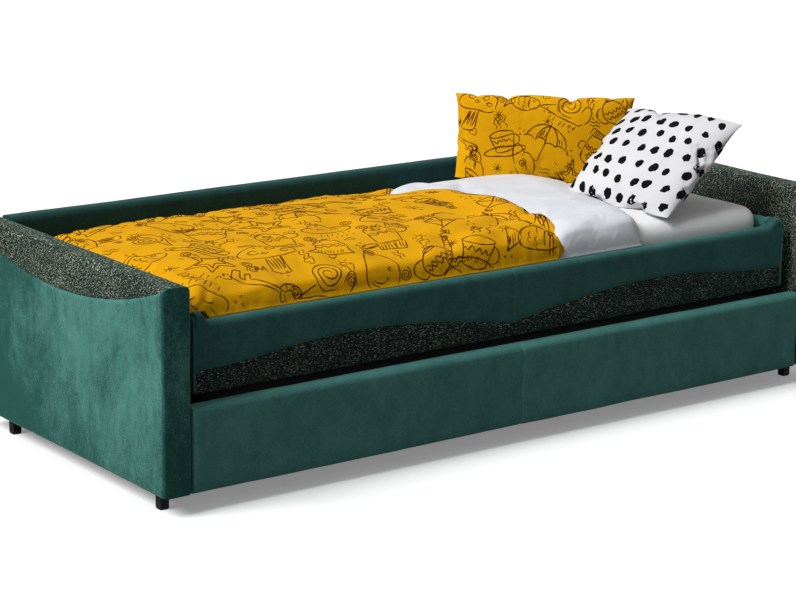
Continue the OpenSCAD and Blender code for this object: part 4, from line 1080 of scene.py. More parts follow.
def cover_end(side, seed):
    """Cover of an end board of the box, gathered at the top of its front corner."""
    low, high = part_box(f"box_{side}_end_cover")

    def depth(s, t, z):
        at_front = soft_step((low.y + END_GATHER_IN[0] - s) / END_GATHER_FADE[0])
        at_corner = at_front * soft_step((z - high.z + END_GATHER_IN[1]) / END_GATHER_FADE[1])
        wave = np.sin(s * 2 * math.pi / END_GATHER_LENGTH + END_GATHER_LEAN * (t - low.x))
        return END_GATHER_DEPTH * (1 + wave) * at_corner

    cover_plain(f"box_{side}_end_velvet", f"box_{side}_end_cover", "y", (BOX_SIDE_R, END_EDGE_R), seed, depth,
                turned=side == "right")


def cover_guest_front(seed):
    """Cover of the guest bed's front, with an upright seam in the middle."""
    low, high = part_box("trundle_front_cover")

    def depth(s, t, z):
        upright = np.where(t < (low.y + high.y) / 2, np.abs(s), 1)
        return UPRIGHT_SHARE * groove(upright) - UPRIGHT_PUCKER_SHARE * pucker(z, upright, seed)

    cover_plain("guest_bed_front_velvet", "trundle_front_cover", "x", (ARM_SIDE_R, TRUNDLE_LIP_R), seed,
                depth, COVER_CROWN, "guest_bed", (0.0,))


cover_arm("left", 21)
cover_arm("right", 31)
cover_box_front(41)
cover_end("left", 51)
cover_end("right", 61)
cover_plain("back_velvet", "back_cover", "x", (ARM_SIDE_R, BACK_EDGE_R), 71)
cover_guest_front(81)


# Mattresses

MERGE_GAP = 0.0001
LEAST_R = 0.001
CORNER_COUNT = 9
SIDE_COUNTS = (90, 40)
SIGNS = ((1, 1), (-1, 1), (-1, -1), (1, -1))
GATHER_REACH = 0.11
SHEET_GATHER = 0.0025
SHEET_WAVE = (0.0012, 0.10, 12)
SHEET_FLAT = 0.08
SHEET_PULLS = 140
SHEET_TOP_DOWN = 0.02
SHEET_TOP_FADE = 0.05


def cushion(name, node, length, radii, crown, slot, body="sofa_bed", creases=None):
    """Crowned mattress with rounded edges and drawn-in sides, with creases near its corners if creases is
    given.
    """
    box_lowest, box_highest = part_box(node)
    middle = (box_lowest + box_highest) / 2
    width, low, top = box_highest.y - box_lowest.y, box_lowest.z, box_highest.z
    edge_r, low_r = radii
    turns = np.linspace(0, QUARTER, 7)
    bottom = [(low_r * (1 - math.sin(t)), low + low_r * (1 - math.cos(t))) for t in turns]
    side = [(0, z) for z in np.linspace(low + low_r, top - crown - edge_r, 9)[1:-1]]
    steps = np.concatenate([edge_r * (1 - np.cos(np.linspace(0, QUARTER, 8))),
                            np.linspace(edge_r, width / 2 - MERGE_GAP / 5, 26)[1:]])
    upper = [(i, float(cushion_z(np.float64(i), top, edge_r, crown, width / CROWN_SHARE))) for i in steps]
    rings = []
    for inset, z in bottom + side + upper:
        half = (length / 2 - inset, width / 2 - inset)
        loop = outline(half, min(max(CORNER_R - inset, LEAST_R), half[1]))
        rings.append(np.column_stack([loop + [middle.x, middle.y], np.full(len(loop), z)]))
    grid = np.array(rings)
    if creases:
        grid = creases(grid, middle, length, width)
    count, around = grid.shape[:2]
    numbers = np.arange(count * around).reshape(count, around)
    faces = [ring_faces(numbers[k], numbers[k + 1]) for k in range(count - 1)]
    points = np.concatenate([grid.reshape(-1, 3), [[middle.x, middle.y, low]]])
    hub = np.full(around, len(points) - 1)
    cap = np.stack([np.roll(numbers[0], -1), numbers[0], hub], -1)
    piece = add_mesh(name, points, [*np.concatenate(faces), *cap], LOOKS[slot])
    merge_close(piece, MERGE_GAP)
    fit_out(piece, node, body)


def outline(half, radius):
    """Rounded rectangle whose sides are drawn in between the corners."""
    corner_x, corner_y = half[0] - radius, half[1] - radius
    points = []
    for quarter, (sx, sy) in enumerate(SIGNS):
        a = QUARTER * (quarter + np.linspace(0, 1, CORNER_COUNT))
        turn = np.column_stack([sx * corner_x + radius * np.cos(a), sy * corner_y + radius * np.sin(a)])
        next_x, next_y = SIGNS[(quarter + 1) % 4]
        after = QUARTER * (quarter + 1)
        target = [next_x * corner_x + radius * math.cos(after), next_y * corner_y + radius * math.sin(after)]
        share = np.linspace(0, 1, SIDE_COUNTS[quarter % 2] + 1)[1:-1, None]
        points += [turn, turn[-1] + (np.array(target) - turn[-1]) * share]
    x, y = np.concatenate(points).T
    draw = min(SIDE_DRAW, half[1] / 10)
    return np.column_stack([x * (1 - draw / half[0] * (1 - (y / half[1]) ** 2)),
                            y * (1 - draw / half[1] * (1 - (x / half[0]) ** 2))])


def sheet_creases(grid, middle, length, width):
    """Gathers of the fitted sheet under its corners, and soft waves over its top."""
    local = grid - [middle.x, middle.y, 0]
    corner = np.hypot(np.abs(local[..., 0]) - length / 2, np.abs(local[..., 1]) - width / 2)
    at_corner = near(corner, 0, GATHER_REACH)
    angle = np.arctan2(local[..., 1], local[..., 0] * width / length)
    pull = np.sin((local[..., 0] + local[..., 1] * 0.6) * SHEET_PULLS + 3 * angle) * at_corner
    side = np.clip((BED_TOP - SHEET_TOP_DOWN - grid[..., 2]) / SHEET_TOP_FADE, 0, 1)
    inward = -local / np.maximum(np.linalg.norm(local[..., :2], axis=-1, keepdims=True), TINY)
    moved = grid + inward * [1, 1, 0] * (SHEET_GATHER * (1 + pull) * at_corner * side)[..., None]
    inside = np.clip((width / 2 - np.abs(local[..., 1])) / SHEET_FLAT, 0, 1)
    moved[..., 2] += folds(grid[..., 0] * 1.6, grid[..., 1], *SHEET_WAVE) * inside
    return moved


inner_low, inner_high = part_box("mattress")
# The guest mattress's near-black ticking is painted shade in the gap above the guest bed
cushion("guest_mattress_cover", "guest_mattress", 2 * BED_HALF, (0.022, 0.011), CROWN / 2, "ticking",
        "guest_bed")
cushion("mattress_ticking", "mattress", inner_high.x - inner_low.x, (EDGE_R, 0.02), CROWN, "foam")
cushion("fitted_sheet_cover", "fitted_sheet", 2 * BED_HALF, (EDGE_R, 0.002), CROWN, "sheet",
        creases=sheet_creases)


# Pillows

PILLOW_DRAW_SHARE = 0.050
PILLOW_CROWN_SHARE = 0.42
PILLOW_PRESSURE = 6
PILLOW_CAP = 0.5
PILLOW_FRAMES = 26
FLAT_SHARE = 0.22
SEAM_DEGREE = 4


class Pillow:
    """Pillow of two faces that meet in a seam, as in the solids' source, with creases from a simulation."""

    def __init__(self, centre, angles, size, slump, cells):
        self.half = np.array(size) / 2
        self.slump = slump
        heading, lean, turn = np.radians(angles)
        across = np.array([math.cos(heading), math.sin(heading), 0])
        back = np.array([-math.sin(heading), math.cos(heading), 0])
        upright = np.array([0, 0, 1])
        upward = back * math.sin(lean) + upright * math.cos(lean)
        facing = upright * math.sin(lean) - back * math.cos(lean)
        self.axes = [across * math.cos(turn) + upward * math.sin(turn),
                     upward * math.cos(turn) - across * math.sin(turn), facing]
        self.centre = np.array(centre)
        self.cells = cells
        self.front, self.rear = (Surface(Surface(self.placed(g)).refined(2)) for g in self.relaxed())

    def relaxed(self):
        """The two faces in the pillow's own axes, filled until they crease at the seam."""
        n, m = self.cells
        u, v = np.meshgrid(np.linspace(-1, 1, n), np.linspace(-1, 1, m), indexing="ij")
        full = np.clip((1 - u * u) * (1 - v * v), 0, 1) ** PILLOW_CROWN_SHARE
        flat = np.stack([self.half[0] * u, self.half[1] * v, FLAT_SHARE * self.half[2] * full], -1)
        rear = flat * [1, 1, -1]
        inner = np.arange(n * m).reshape(n, m)[1:-1, 1:-1].ravel()
        numbers = np.arange(n * m)
        numbers[inner] = n * m + np.arange(len(inner))
        points = np.concatenate([flat.reshape(-1, 3), rear.reshape(-1, 3)[inner]])
        faces = np.concatenate([grid_faces(n, m), numbers[grid_faces(n, m, 0, True)]])
        moved = simulate(points, faces, [], PILLOW_PRESSURE, 0, PILLOW_CAP, PILLOW_FRAMES)
        grids = [moved[:n * m].reshape(n, m, 3), moved[numbers].reshape(n, m, 3)]
        corners = grids[0][[0, 0, -1, -1], [0, -1, 0, -1]]
        scale = self.half / [np.abs(corners[:, 0]).mean(), np.abs(corners[:, 1]).mean(),
                             max(g[..., 2].max() - g[..., 2].min() for g in grids)]
        grids = [g * scale for g in grids]
        seam = grids[0]
        for k, places, reach in ((0, v[0], (seam[-1, :, 0] - seam[0, :, 0]) / 2),
                                 (1, u[:, 0], (seam[:, -1, 1] - seam[:, 0, 1]) / 2)):
            smooth = np.polyval(np.polyfit(places, reach, SEAM_DEGREE), places)
            stretch = self.half[k] * (1 - PILLOW_DRAW_SHARE * (1 - places ** 2)) / smooth
            for g in grids:
                g[..., k] *= stretch[None, :] if k == 0 else stretch[:, None]
        return grids

    def placed(self, local):
        """A face in the frame's axes, with its upper left corner sunk, and flat where it lies on the bed."""
        u, v = local[..., 0] / self.half[0], local[..., 1] / self.half[1]
        sunk = (np.clip(1 - u, 0, 2) * np.clip(1 + v, 0, 2) / 4) ** 2
        points = (self.centre + local[..., :1] * self.axes[0]
                  + (local[..., 1:2] - self.slump[0] * sunk[..., None]) * self.axes[1]
                  + (local[..., 2:] + self.slump[1] * sunk[..., None]) * self.axes[2])
        floor = np.where(points[..., 0] < quilt_x(points[..., 1]), PRESSED_Z, BED_TOP + FIT) + FIT
        points[..., 2] = np.maximum(points[..., 2], floor)
        return points

    def body(self, name, slot, node):
        """The pillow itself, closed along its seam."""
        n, m = self.front.grid.shape[:2]
        points = np.concatenate([self.front.grid.reshape(-1, 3), self.rear.grid.reshape(-1, 3)])
        faces = np.concatenate([grid_faces(n, m), grid_faces(n, m, n * m, True)])
        piece = add_mesh(name, points, faces, LOOKS[slot])
        merge_close(piece)
        fit_out(piece, node)


# Width, height and thickness, and the height of the middle as a share of the pillow's height
PRINT_SIZE = (0.530, 0.270, 0.104)
PRINT_RAISED = 0.38
DOTTED_SIZE = (0.392, 0.374, 0.108)
DOTTED_RAISED = 0.324
DOTTED_SLUMP = (0.052, 0.016)

print_pillow = Pillow((0.6230, 0.2060, PRESSED_Z + PRINT_SIZE[1] * PRINT_RAISED), (-32.4, 8, -1.5),
                      PRINT_SIZE, (0, 0), (46, 26))
print_pillow.body("print_pillow_cover", "print_mustard", "print_pillow")
dotted_pillow = Pillow((0.7, -0.1848, BED_TOP + FIT + DOTTED_SIZE[1] * DOTTED_RAISED),
                       (-81.8, 49.5, -4.5), DOTTED_SIZE, DOTTED_SLUMP, (36, 36))
dotted_pillow.body("dotted_pillow_cover", "dotted_white", "dotted_pillow")


# Prints, as thin cloth colour that follows a surface

INK_LIFT = 0.0005
INK_SINK = 0.0006
INK_STEP = 0.006
CELL_REACH = 5
PATH_COUNT = 161
RIBBON_FOOT = 1.2
RIBBON_UNEVEN = 0.22
SHAKE = 0.022
OFFSET = 0.015
EDGE_CELLS = 0.3
BLOT_EDGE_CELLS = 1.8
BLOT_POINTS = 22
BLOT_BULGE = 0.09
BLOT_SCALES = (0.85, 1.12)
BLOT_JITTER = 0.12
BLOT_STAGGER = (0.28, 0.44)
BLOT_WAVES = (1, 2, 3, 5, 7)
BLOT_RINGS = ((0.02, INK_LIFT), (0.5, INK_LIFT), (0.9, INK_LIFT), (1.0, -INK_SINK))
TURNS = (-0.9, -0.35, -0.1, 0.2, 0.5, 1.2, 2.6)
BETWEEN = ((0.5, -0.3), (0.5, 0.28), (0.02, 0.5))
JITTER = 0.10
SMALL_JITTER = 0.08
SCALES = (0.82, 1.12)
SMALL_SHARE = 0.2
SMALL_LINE_SHARE = 0.85


def arc(x, y, width, height, start=0, end=360):
    """Part of an ellipse, between two angles in degrees."""
    t = np.radians(np.linspace(start, end, max(5, int(abs(end - start) / 12) + 1)))
    return around(x, y, width, height, t)


def around(x, y, width, height, t):
    """Points in directions t from a middle."""
    return np.column_stack([x + width * np.cos(t), y + height * np.sin(t)])


def arcs(places, *values):
    """The same arc at several places."""
    return [arc(x, y, *values) for x, y in places]


def line(*numbers):
    """Straight strokes through points given as x, y, x, y and so on."""
    return np.array(numbers, float).reshape(-1, 2)


def ripple(x, y, length, height, turns, upright=False):
    """Wavy stroke that starts at a point."""
    t = np.linspace(0, 1, int(turns * 8) + 1)
    along, across = length * t, height * np.sin(2 * math.pi * turns * t)
    return np.column_stack([x + across, y + along] if upright else [x + along, y + across])


def coil(x, y, width, turns):
    """Spiral that opens from its middle."""
    t = np.linspace(0, 2 * math.pi * turns, int(turns * 20))
    reach = width * (0.15 + 0.85 * t / t[-1])
    return around(x, y, reach, reach, t)


def hatch(x, y, width, height, count, lean=0.0):
    """A row of upright strokes."""
    return [line(p, y, p + lean, y + height) for p in np.linspace(x, x + width, count)]


def starry(x, y, far, close, points=5):
    """Star with a closed outline."""
    t = np.linspace(0, 2 * math.pi, 2 * points + 1) + QUARTER
    reach = np.where(np.arange(2 * points + 1) % 2 == 0, far, close)
    return around(x, y, reach, reach, t)


def rays(close, far, degrees, x=0, turned=0):
    """Short strokes that point away from a middle."""
    return [line(x + close * math.cos(t), close * math.sin(t), x + far * math.cos(t), far * math.sin(t))
            for t in np.radians(degrees) + turned]


ROUND = np.linspace(0, 2 * math.pi, 34)

# Each drawing fits in a square from -1 to 1
DRAWINGS = {
    "umbrella": [
        arc(0, 0, 0.9, 0.75, 0, 180), arc(0, 0, 0.45, 0.75, 0, 180), line(0, 0.9, 0, -0.7),
        arc(-0.12, -0.7, 0.12, 0.14, 180, 360),
        *arcs(((-0.675, 0), (-0.225, 0), (0.225, 0), (0.675, 0)), 0.225, 0.12, 0, 180),
        *hatch(-0.38, 0.2, 0.24, 0.3, 4, 0.05), *hatch(0.5, 0.12, 0.2, 0.25, 3, -0.06),
    ],
    "fish": [
        arc(0.1, 0, 0.7, 0.38), line(-0.55, 0.12, -0.95, 0.4, -0.83, 0, -0.95, -0.4, -0.55, -0.12),
        arc(0.5, 0.1, 0.07, 0.07), arc(0.38, 0, 0.12, 0.28, 110, 250), arc(0.05, 0.36, 0.25, 0.2, 10, 170),
        *arcs(((0.1, 0.18), (0.1, -0.02), (0.1, -0.22), (-0.15, 0.1), (-0.15, -0.12), (-0.38, 0.05),
               (-0.38, -0.12)), 0.1, 0.1, 110, 250),
        *hatch(-0.88, -0.16, 0.2, 0.3, 4),
    ],
    "kite": [
        line(0, 0.95, 0.5, 0.3, 0, -0.4, -0.5, 0.3, 0, 0.95), line(0, 0.95, 0, -0.4),
        line(-0.5, 0.3, 0.5, 0.3), *hatch(0.07, 0.34, 0.3, 0.24, 5, -0.02),
        ripple(0, -0.95, 0.55, 0.1, 2, True),
        line(-0.1, -0.62, 0.16, -0.5, 0.16, -0.66, -0.1, -0.52),
        line(-0.16, -0.86, 0.1, -0.76, 0.1, -0.92, -0.16, -0.76),
    ],
    "cup": [
        arc(0, 0.15, 0.5, 0.13), line(-0.5, 0.15, -0.36, -0.5), line(0.5, 0.15, 0.36, -0.5),
        arc(0, -0.5, 0.36, 0.1, 180, 360), arc(0.48, -0.15, 0.24, 0.2, -80, 95), arc(0, -0.58, 0.85, 0.2),
        *[ripple(x, 0.4, 0.5, 0.06, 1.5, True) for x in (-0.22, 0, 0.22)],
        ripple(-0.42, -0.12, 0.84, 0.07, 4), *hatch(-0.3, -0.45, 0.6, 0.14, 7),
    ],
    "mushroom": [
        arc(0, 0.05, 0.8, 0.8, 0, 180), arc(0, 0.05, 0.8, 0.16, 180, 360), line(-0.2, -0.1, -0.27, -0.8),
        line(0.2, -0.1, 0.27, -0.8), arc(0, -0.8, 0.27, 0.09, 180, 360), arc(-0.35, 0.38, 0.14, 0.11),
        arc(0.2, 0.52, 0.15, 0.11), arc(0.46, 0.22, 0.11, 0.08), arc(-0.04, 0.2, 0.09, 0.07),
        *hatch(-0.15, -0.7, 0.3, 0.5, 5),
        line(-0.75, -0.85, -0.68, -0.6, -0.6, -0.85, -0.5, -0.55, -0.45, -0.85),
    ],
    "star": [
        starry(0, 0, 0.75, 0.32), starry(0, 0, 0.45, 0.2),
        *rays(0.8, 1.0, np.arange(-18, 340, 36), turned=0.3),
    ],
    "pear": [
        np.column_stack([(0.44 - 0.2 * np.sin(ROUND)) * np.cos(ROUND), -0.15 + 0.7 * np.sin(ROUND)]),
        line(0, 0.5, 0.05, 0.85), arc(0.3, 0.72, 0.26, 0.11), line(0.06, 0.68, 0.5, 0.75),
        *[arc(-0.05, -0.3, r, r * 1.1, 200, 290) for r in (0.25, 0.34, 0.43)],
        arc(0.18, -0.25, 0.05, 0.05), arc(0.1, -0.5, 0.04, 0.04),
    ],
    "balloon": [
        arc(0, 0.28, 0.62, 0.66),
        *[arc(0, 0.28, w, 0.66, a, a + 180) for w in (0.2, 0.42) for a in (-90, 90)],
        line(-0.34, -0.27, -0.16, -0.72), line(0.34, -0.27, 0.16, -0.72), line(-0.1, -0.36, -0.06, -0.72),
        line(0.1, -0.36, 0.06, -0.72),
        line(-0.18, -0.72, 0.18, -0.72, 0.13, -0.97, -0.13, -0.97, -0.18, -0.72),
        *hatch(-0.12, -0.95, 0.24, 0.2, 5), ripple(-0.6, 0.25, 1.2, 0.05, 6),
    ],
    "snail": [
        coil(0.12, 0.1, 0.5, 2.8), line(-0.95, -0.5, 0.6, -0.5, 0.72, -0.38),
        line(-0.32, -0.18, -0.55, -0.3, -0.95, -0.5),
        line(0.56, -0.15, 0.75, 0.1, 0.88, 0.12, 0.95, 0, 0.86, -0.25, 0.72, -0.38),
        line(0.8, 0.12, 0.72, 0.42), line(0.9, 0.12, 0.95, 0.42), arc(0.72, 0.46, 0.04, 0.04),
        arc(0.95, 0.46, 0.04, 0.04), *hatch(-0.5, -0.7, 0.9, 0.12, 6, 0.08),
    ],
    "teapot": [
        arc(0, -0.15, 0.55, 0.48), arc(0, 0.28, 0.28, 0.14, 0, 180), line(-0.28, 0.28, 0.28, 0.28),
        arc(0, 0.48, 0.07, 0.07), line(0.5, 0.05, 0.68, 0.2, 0.84, 0.45, 0.97, 0.42),
        line(0.52, -0.28, 0.75, -0.05, 0.97, 0.42), arc(-0.6, -0.08, 0.28, 0.3, 60, 300),
        ripple(-0.53, -0.12, 1.06, 0.07, 5), ripple(-0.5, -0.28, 1.0, 0.07, 5), line(-0.3, -0.66, 0.3, -0.66),
    ],
    "cloud": [
        arc(-0.5, 0.25, 0.32, 0.26, 70, 270), arc(-0.12, 0.45, 0.36, 0.32, 5, 170),
        arc(0.45, 0.28, 0.34, 0.28, -90, 125), line(-0.5, -0.01, 0.45, 0),
        *hatch(-0.5, -0.35, 0.9, 0.2, 6, 0.07), *hatch(-0.42, -0.72, 0.8, 0.2, 5, 0.07),
        arc(-0.2, 0.3, 0.14, 0.1, 20, 200), arc(0.28, 0.3, 0.14, 0.1, -20, 150),
    ],
    "mitten": [
        line(-0.42, -0.5, -0.45, 0.3), arc(-0.05, 0.3, 0.4, 0.55, 0, 180), line(0.35, 0.3, 0.36, 0.05),
        arc(0.52, 0.18, 0.2, 0.22, -130, 120), line(0.38, 0, 0.34, -0.5), line(-0.42, -0.5, 0.34, -0.5),
        line(-0.46, -0.5, -0.46, -0.85, 0.38, -0.85, 0.38, -0.5), *hatch(-0.36, -0.82, 0.66, 0.3, 8),
        ripple(-0.42, 0.05, 0.78, 0.07, 3), ripple(-0.42, 0.2, 0.78, 0.07, 3), starry(-0.05, 0.5, 0.17, 0.07),
    ],
    "key": [
        arc(-0.62, 0, 0.3, 0.3), arc(-0.62, 0, 0.13, 0.13),
        line(-0.33, 0.06, 0.85, 0.06, 0.85, -0.3, 0.7, -0.3, 0.7, -0.06, 0.56, -0.06, 0.56, -0.22,
             0.42, -0.22, 0.42, -0.06, -0.33, -0.06),
        *rays(0.17, 0.26, np.arange(0, 360, 45), -0.62),
    ],
    "cone": [
        line(-0.4, 0.05, 0, -0.95, 0.4, 0.05), arc(0, 0.05, 0.4, 0.09), arc(-0.2, 0.3, 0.26, 0.25, -20, 200),
        arc(0.2, 0.3, 0.26, 0.25, -20, 180), arc(0, 0.62, 0.26, 0.25, -20, 200),
        *[line(side * (-0.4 + k), 0.05 - k * 0.2, side * (-0.1 + k * 0.55), -0.6 - k * 0.25)
          for side in (1, -1) for k in (0.15, 0.3, 0.45, 0.6)],
        arc(0, 0.93, 0.07, 0.07),
    ],
    "bell": [
        arc(0, 0.15, 0.42, 0.6, 0, 180),
        line(-0.42, 0.15, -0.5, -0.35, -0.72, -0.55, 0.72, -0.55, 0.5, -0.35, 0.42, 0.15),
        arc(0, -0.62, 0.14, 0.14, 180, 360), arc(0, 0.84, 0.09, 0.09), ripple(-0.46, -0.1, 0.92, 0.07, 4),
        ripple(-0.43, 0.08, 0.86, 0.06, 4), *hatch(-0.4, -0.5, 0.8, 0.14, 9),
    ],
}
SMALL_DRAWINGS = [
    [line(-1, 0, 1, 0), line(0, -1, 0, 1), line(-0.7, -0.7, 0.7, 0.7), line(-0.7, 0.7, 0.7, -0.7)],
    [coil(0, 0, 0.9, 2.2)],
    [arc(0, 0, 0.5, 0.5), *rays(0.7, 1.1, np.arange(0, 360, 60))],
    [arc(-0.4, 0.3, 0.4, 0.4, 0, 200), arc(0.4, 0.3, 0.4, 0.4, -20, 180),
     line(-0.78, 0.2, 0, -0.9, 0.78, 0.2)],
    [ripple(-1.2, 0.3, 2.4, 0.25, 2), ripple(-1.2, -0.4, 2.4, 0.25, 2)],
    arcs(((-0.6, 0.4), (0.5, 0.5), (0, -0.5)), 0.22, 0.22),
]


def turning(angle):
    """Matrix that turns points, given as rows, by an angle."""
    return np.array([[math.cos(angle), math.sin(angle)], [-math.sin(angle), math.cos(angle)]])


class Print:
    """Lines and dots drawn on a surface. side is -1 where the surface's normals point into the piece."""

    def __init__(self, surface, seed, side=1):
        self.surface = surface
        self.random = np.random.default_rng(seed)
        self.side = side
        self.points, self.faces, self.count = [], [], 0

    def cell(self, a, b):
        """Usual length of a cell along both directions round a place."""
        sizes = []
        a, b = np.clip((a, b), 0, self.surface.last)
        for k in range(2):
            ends = np.array([[a, b], [a, b]], float)
            ends[:, k] = np.clip(ends[:, k] + [-CELL_REACH, CELL_REACH], 0, self.surface.last[k])
            first, second = self.surface.at(*ends.T)
            sizes.append(np.linalg.norm(second - first) / (ends[1, k] - ends[0, k]))
        return np.array(sizes)

    def row(self, axis, other):
        """Evenly spaced places along one direction, and the length of the surface there."""
        places = np.zeros((PATH_COUNT, 2))
        places[:, axis] = np.linspace(0, self.surface.last[axis], PATH_COUNT)
        places[:, 1 - axis] = other
        path = self.surface.at(*places.T)
        return even_shares(path, PATH_COUNT) * self.surface.last[axis], path_lengths(path)[-1]

    def at_shares(self, along, across):
        """Place at shares of the surface's lengths."""
        even = np.linspace(0, 1, PATH_COUNT)
        b = np.interp(across, even, self.row(1, self.surface.last[0] / 2)[0])
        return np.array([np.interp(along, even, self.row(0, b)[0]), b])

    def add(self, sections):
        """A strip of sections of equally many points."""
        n, m = sections.shape[:2]
        self.points.append(sections.reshape(-1, 3))
        self.faces.append(grid_faces(n, m, self.count, self.side > 0))
        self.count += n * m

    def ribbon(self, places, width):
        """Line of colour, thinner at its ends and a little uneven."""
        a, b = places.T
        path, normal = self.surface.at(a, b), self.surface.normal(a, b) * self.side
        across = unit(np.cross(normal, np.gradient(path, axis=0)))
        k = np.arange(len(places))
        taper = np.minimum(1, 0.4 + 0.3 * np.minimum(k, k[::-1]))
        uneven = 1 + RIBBON_UNEVEN * np.sin(0.9 * k + self.random.uniform(0, 6))
        half = (width / 2 * taper * uneven)[:, None]
        top, low = normal * INK_LIFT, normal * -INK_SINK
        edge = across * half
        foot = edge * RIBBON_FOOT
        sections = [path + foot + low, path + edge + top, path - edge + top, path - foot + low]
        self.add(np.stack(sections, axis=1)[:, ::self.side])

    def stroke(self, places, width):
        """Ribbons along places on the surface, left out beyond its edges."""
        inside = np.all((places > EDGE_CELLS) & (places < self.surface.last - EDGE_CELLS), axis=1)
        for part in np.split(np.arange(len(places)), np.flatnonzero(np.diff(inside)) + 1):
            if inside[part[0]] and len(part) > 2:
                self.ribbon(places[part], width)

    def draw(self, lines, centre, size, angle, width):
        """A drawing at a place on the surface, by an unsteady hand."""
        cell = self.cell(*centre)
        for points in lines:
            gone = path_lengths(points)
            steps = np.linspace(0, gone[-1], max(4, int(gone[-1] * size / INK_STEP)))
            drawn = np.column_stack([np.interp(steps, gone, c) for c in points.T])
            shake = SHAKE * np.sin(steps[:, None] * 5.5 + self.random.uniform(0, 6, 2))
            drawn = (drawn + shake + self.random.normal(0, OFFSET, 2)) @ turning(angle) * size
            self.stroke(np.array(centre) + drawn / cell, width)

    def scatter(self, spacing, size, width):
        """Drawings all over the surface in loose rows, with small ones between them."""
        names = sorted(DRAWINGS)
        deck = []
        n, m = self.surface.last
        rows = max(1, round(self.row(1, n / 2)[1] / spacing[1]))
        for row in range(rows):
            b = (row + 0.5) * m / rows
            columns = max(1, round(self.row(0, b)[1] / spacing[0]))
            shift = 0.5 if row % 2 else 0.0
            for column in range(columns + row % 2):
                if not deck:
                    deck = list(self.random.permutation(names))
                a = (column + 0.5 - shift) * n / columns
                jitter = self.random.uniform(-JITTER, JITTER, 2) * [n / columns, m / rows]
                angle = self.random.choice(TURNS)
                scale = size * self.random.uniform(*SCALES)
                self.draw(DRAWINGS[deck.pop()], (a + jitter[0], b + jitter[1]), scale, angle, width)
                for right, up in BETWEEN:
                    shifted = up + self.random.uniform(-SMALL_JITTER, SMALL_JITTER)
                    place = (a + right * n / columns, b + shifted * m / rows)
                    small = SMALL_DRAWINGS[self.random.integers(len(SMALL_DRAWINGS))]
                    turn = self.random.uniform(0, 6)
                    self.draw(small, place, size * SMALL_SHARE, turn, width * SMALL_LINE_SHARE)

    def blot(self, place, size, angle):
        """Round brush mark with an uneven edge."""
        cell = self.cell(*place)
        t = np.linspace(0, 2 * math.pi, BLOT_POINTS + 1)[:-1]
        draw = self.random.uniform
        bulge = 1 + sum(draw(-BLOT_BULGE, BLOT_BULGE) * np.sin(k * t + draw(0, 6)) for k in BLOT_WAVES)
        rim = around(0, 0, size[0] * bulge, size[1] * bulge, t)
        rings = []
        for share, height in BLOT_RINGS:
            a, b = (np.array(place) + rim * share @ turning(angle) / cell).T
            a, b = np.append(a, a[0]), np.append(b, b[0])
            rings.append(self.surface.at(a, b) + self.surface.normal(a, b) * (height * self.side))
        self.add(np.stack(rings)[:, ::-self.side])

    def dot(self, spacing, size):
        """Brush marks in staggered rows."""
        n, m = self.surface.last
        rows, columns = round(self.row(1, n / 2)[1] / spacing[1]), round(self.row(0, m / 2)[1] / spacing[0])
        for row in range(rows):
            for column in range(columns):
                off = self.random.uniform(-BLOT_JITTER, BLOT_JITTER, 2)
                along = column + BLOT_STAGGER[0] + BLOT_STAGGER[1] * (row % 2) + off[0]
                place = self.at_shares(along / columns, (row + 0.5 + off[1]) / rows)
                scale = self.random.uniform(*BLOT_SCALES)
                if np.all((place > BLOT_EDGE_CELLS) & (place < self.surface.last - BLOT_EDGE_CELLS)):
                    self.blot(place, (size[0] * scale, size[1] * scale), self.random.uniform(-0.5, 0.5))

    def finish(self, name, material):
        """Makes one piece of all that was drawn."""
        fit_out(add_mesh(name, np.concatenate(self.points), np.concatenate(self.faces), material))


# Spacing along and across, size of a drawing or dot, and width of a line
DUVET_PRINT = ((0.180, 0.155), 0.098, 0.0029)
PILLOW_PRINT = ((0.135, 0.112), 0.070, 0.0027)
PILLOW_DOTS = ((0.056, 0.053), (0.0138, 0.0156))
HEM_LINE = 0.003
HEM_LINES_IN = (0.018, 0.030)
HEM_LINE_COUNT = 260


def print_duvet():
    """Drawings all over the duvet and two lines along its hem."""
    duvet_print = Print(duvet_surface, 101)
    duvet_print.scatter(*DUVET_PRINT)
    n, m = duvet_surface.last
    rows = np.linspace(1, m - 1, HEM_LINE_COUNT)
    for inset in HEM_LINES_IN:
        column = np.full(HEM_LINE_COUNT, n - inset / duvet_print.cell(n / 2, m / 2)[0])
        duvet_print.stroke(np.column_stack([column, rows]), HEM_LINE)
    duvet_print.finish("duvet_drawings", INK_BROWN)


def print_faces(pillow, seed, cover, values, name, material):
    """The same kind of print on both faces of a pillow."""
    for k, (face, surface, side) in enumerate((("front", pillow.front, 1), ("rear", pillow.rear, -1))):
        layer = Print(surface, seed + k, side)
        cover(layer, *values)
        layer.finish(name.format(face), material)


print_duvet()
print_faces(print_pillow, 111, Print.scatter, PILLOW_PRINT, "print_pillow_{}_drawings", INK_BROWN)
print_faces(dotted_pillow, 121, Print.dot, PILLOW_DOTS, "dotted_pillow_{}_dots", INK_BLACK)


# Floor, world and lamps

FLOOR_SIDE = 30
FLOOR_BOUNCE = 0.20
FLOOR_SEEN = 1.0
FLOOR_GLOW = 0.22
AMBIENT = 0.19
KEY_STRENGTH = 3.1
KEY_ANGLE = math.radians(30)
KEY_FROM = Vector((-0.71, 0.07, 0.69))
FILL_WATTS = 3
FILL_SIZE = 2.4
FILL_PLACE = Vector((-4.2, -3.6, 1.3))
FILL_AIM = Vector((0, 0, 0.3))
TOP_WATTS = 11
TOP_SIZE = 3.0
TOP_PLACE = Vector((0, 0.3, 3.0))
TOP_AIM = Vector((0, 0.3, 0))


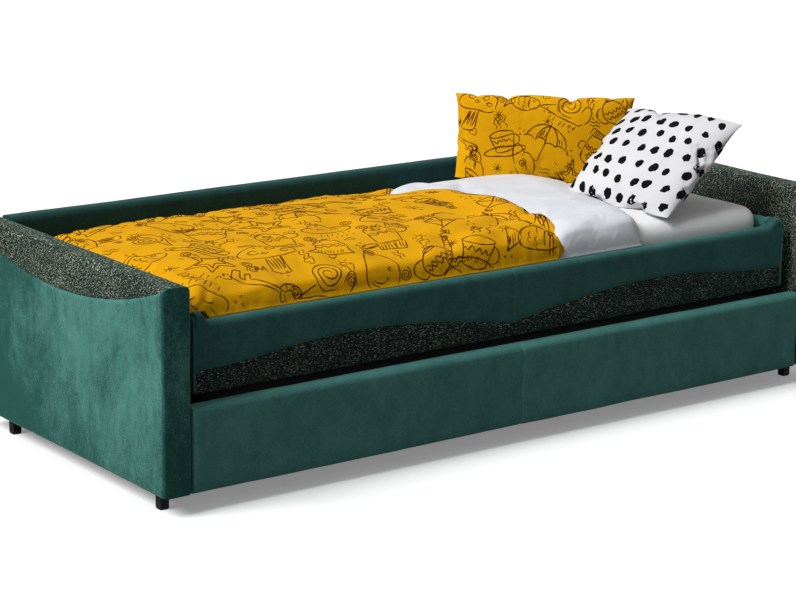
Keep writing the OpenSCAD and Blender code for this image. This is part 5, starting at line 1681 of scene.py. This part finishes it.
def make_floor():
    """White floor that keeps the shadow."""
    look = Look("floor")
    seen = look.add("ShaderNodeLightPath").outputs["Is Camera Ray"]
    diffuse = look.add("ShaderNodeBsdfDiffuse", Color=look.ramp(seen, (0, FLOOR_BOUNCE), (1, FLOOR_SEEN)))
    glow = look.add("ShaderNodeEmission", Color=(1, 1, 1), Strength=look.maths("MULTIPLY", seen, FLOOR_GLOW))
    both = look.add("ShaderNodeAddShader")
    look.feed(both.inputs[0], diffuse.outputs[0])
    look.feed(both.inputs[1], glow.outputs[0])
    look.feed(look.tree.nodes["Material Output"].inputs["Surface"], both.outputs[0])
    points = [(FLOOR_SIDE * x, FLOOR_SIDE * y, 0) for x, y in ((-1, -1), (1, -1), (1, 1), (-1, 1))]
    add_mesh("floor", points, [(0, 1, 2, 3)], look.material)


def make_world():
    """Background that is white to the camera and in reflections, and lights everything else dimly."""
    world = bpy.data.worlds.new("studio")
    world.use_nodes = True
    scene.world = world
    nodes = Nodes(world.node_tree)
    ray = nodes.add("ShaderNodeLightPath").outputs
    seen = nodes.maths("MAXIMUM", ray["Is Camera Ray"], ray["Is Glossy Ray"])
    clear = nodes.maths("MAXIMUM", seen, ray["Is Transmission Ray"])
    level = nodes.add("ShaderNodeMapRange", Value=clear, To_Min=AMBIENT, To_Max=1)
    nodes.set(nodes.tree.nodes["Background"], Color=(1, 1, 1), Strength=level.outputs["Result"])


def add_lamp(name, kind, place, direction, **values):
    """Lamp that shines from a direction."""
    light = bpy.data.lights.new(name, kind)
    for key, value in values.items():
        setattr(light, key, value)
    lamp = add_object(name, light)
    lamp.location = place
    lamp.rotation_mode = "QUATERNION"
    lamp.rotation_quaternion = direction.to_track_quat("Z", "Y")


make_floor()
make_world()
add_lamp("key", "SUN", (0, 0, 0), KEY_FROM, energy=KEY_STRENGTH, angle=KEY_ANGLE)
add_lamp("fill", "AREA", FILL_PLACE, FILL_PLACE - FILL_AIM, energy=FILL_WATTS, size=FILL_SIZE)
add_lamp("top", "AREA", TOP_PLACE, TOP_PLACE - TOP_AIM, energy=TOP_WATTS, size=TOP_SIZE)
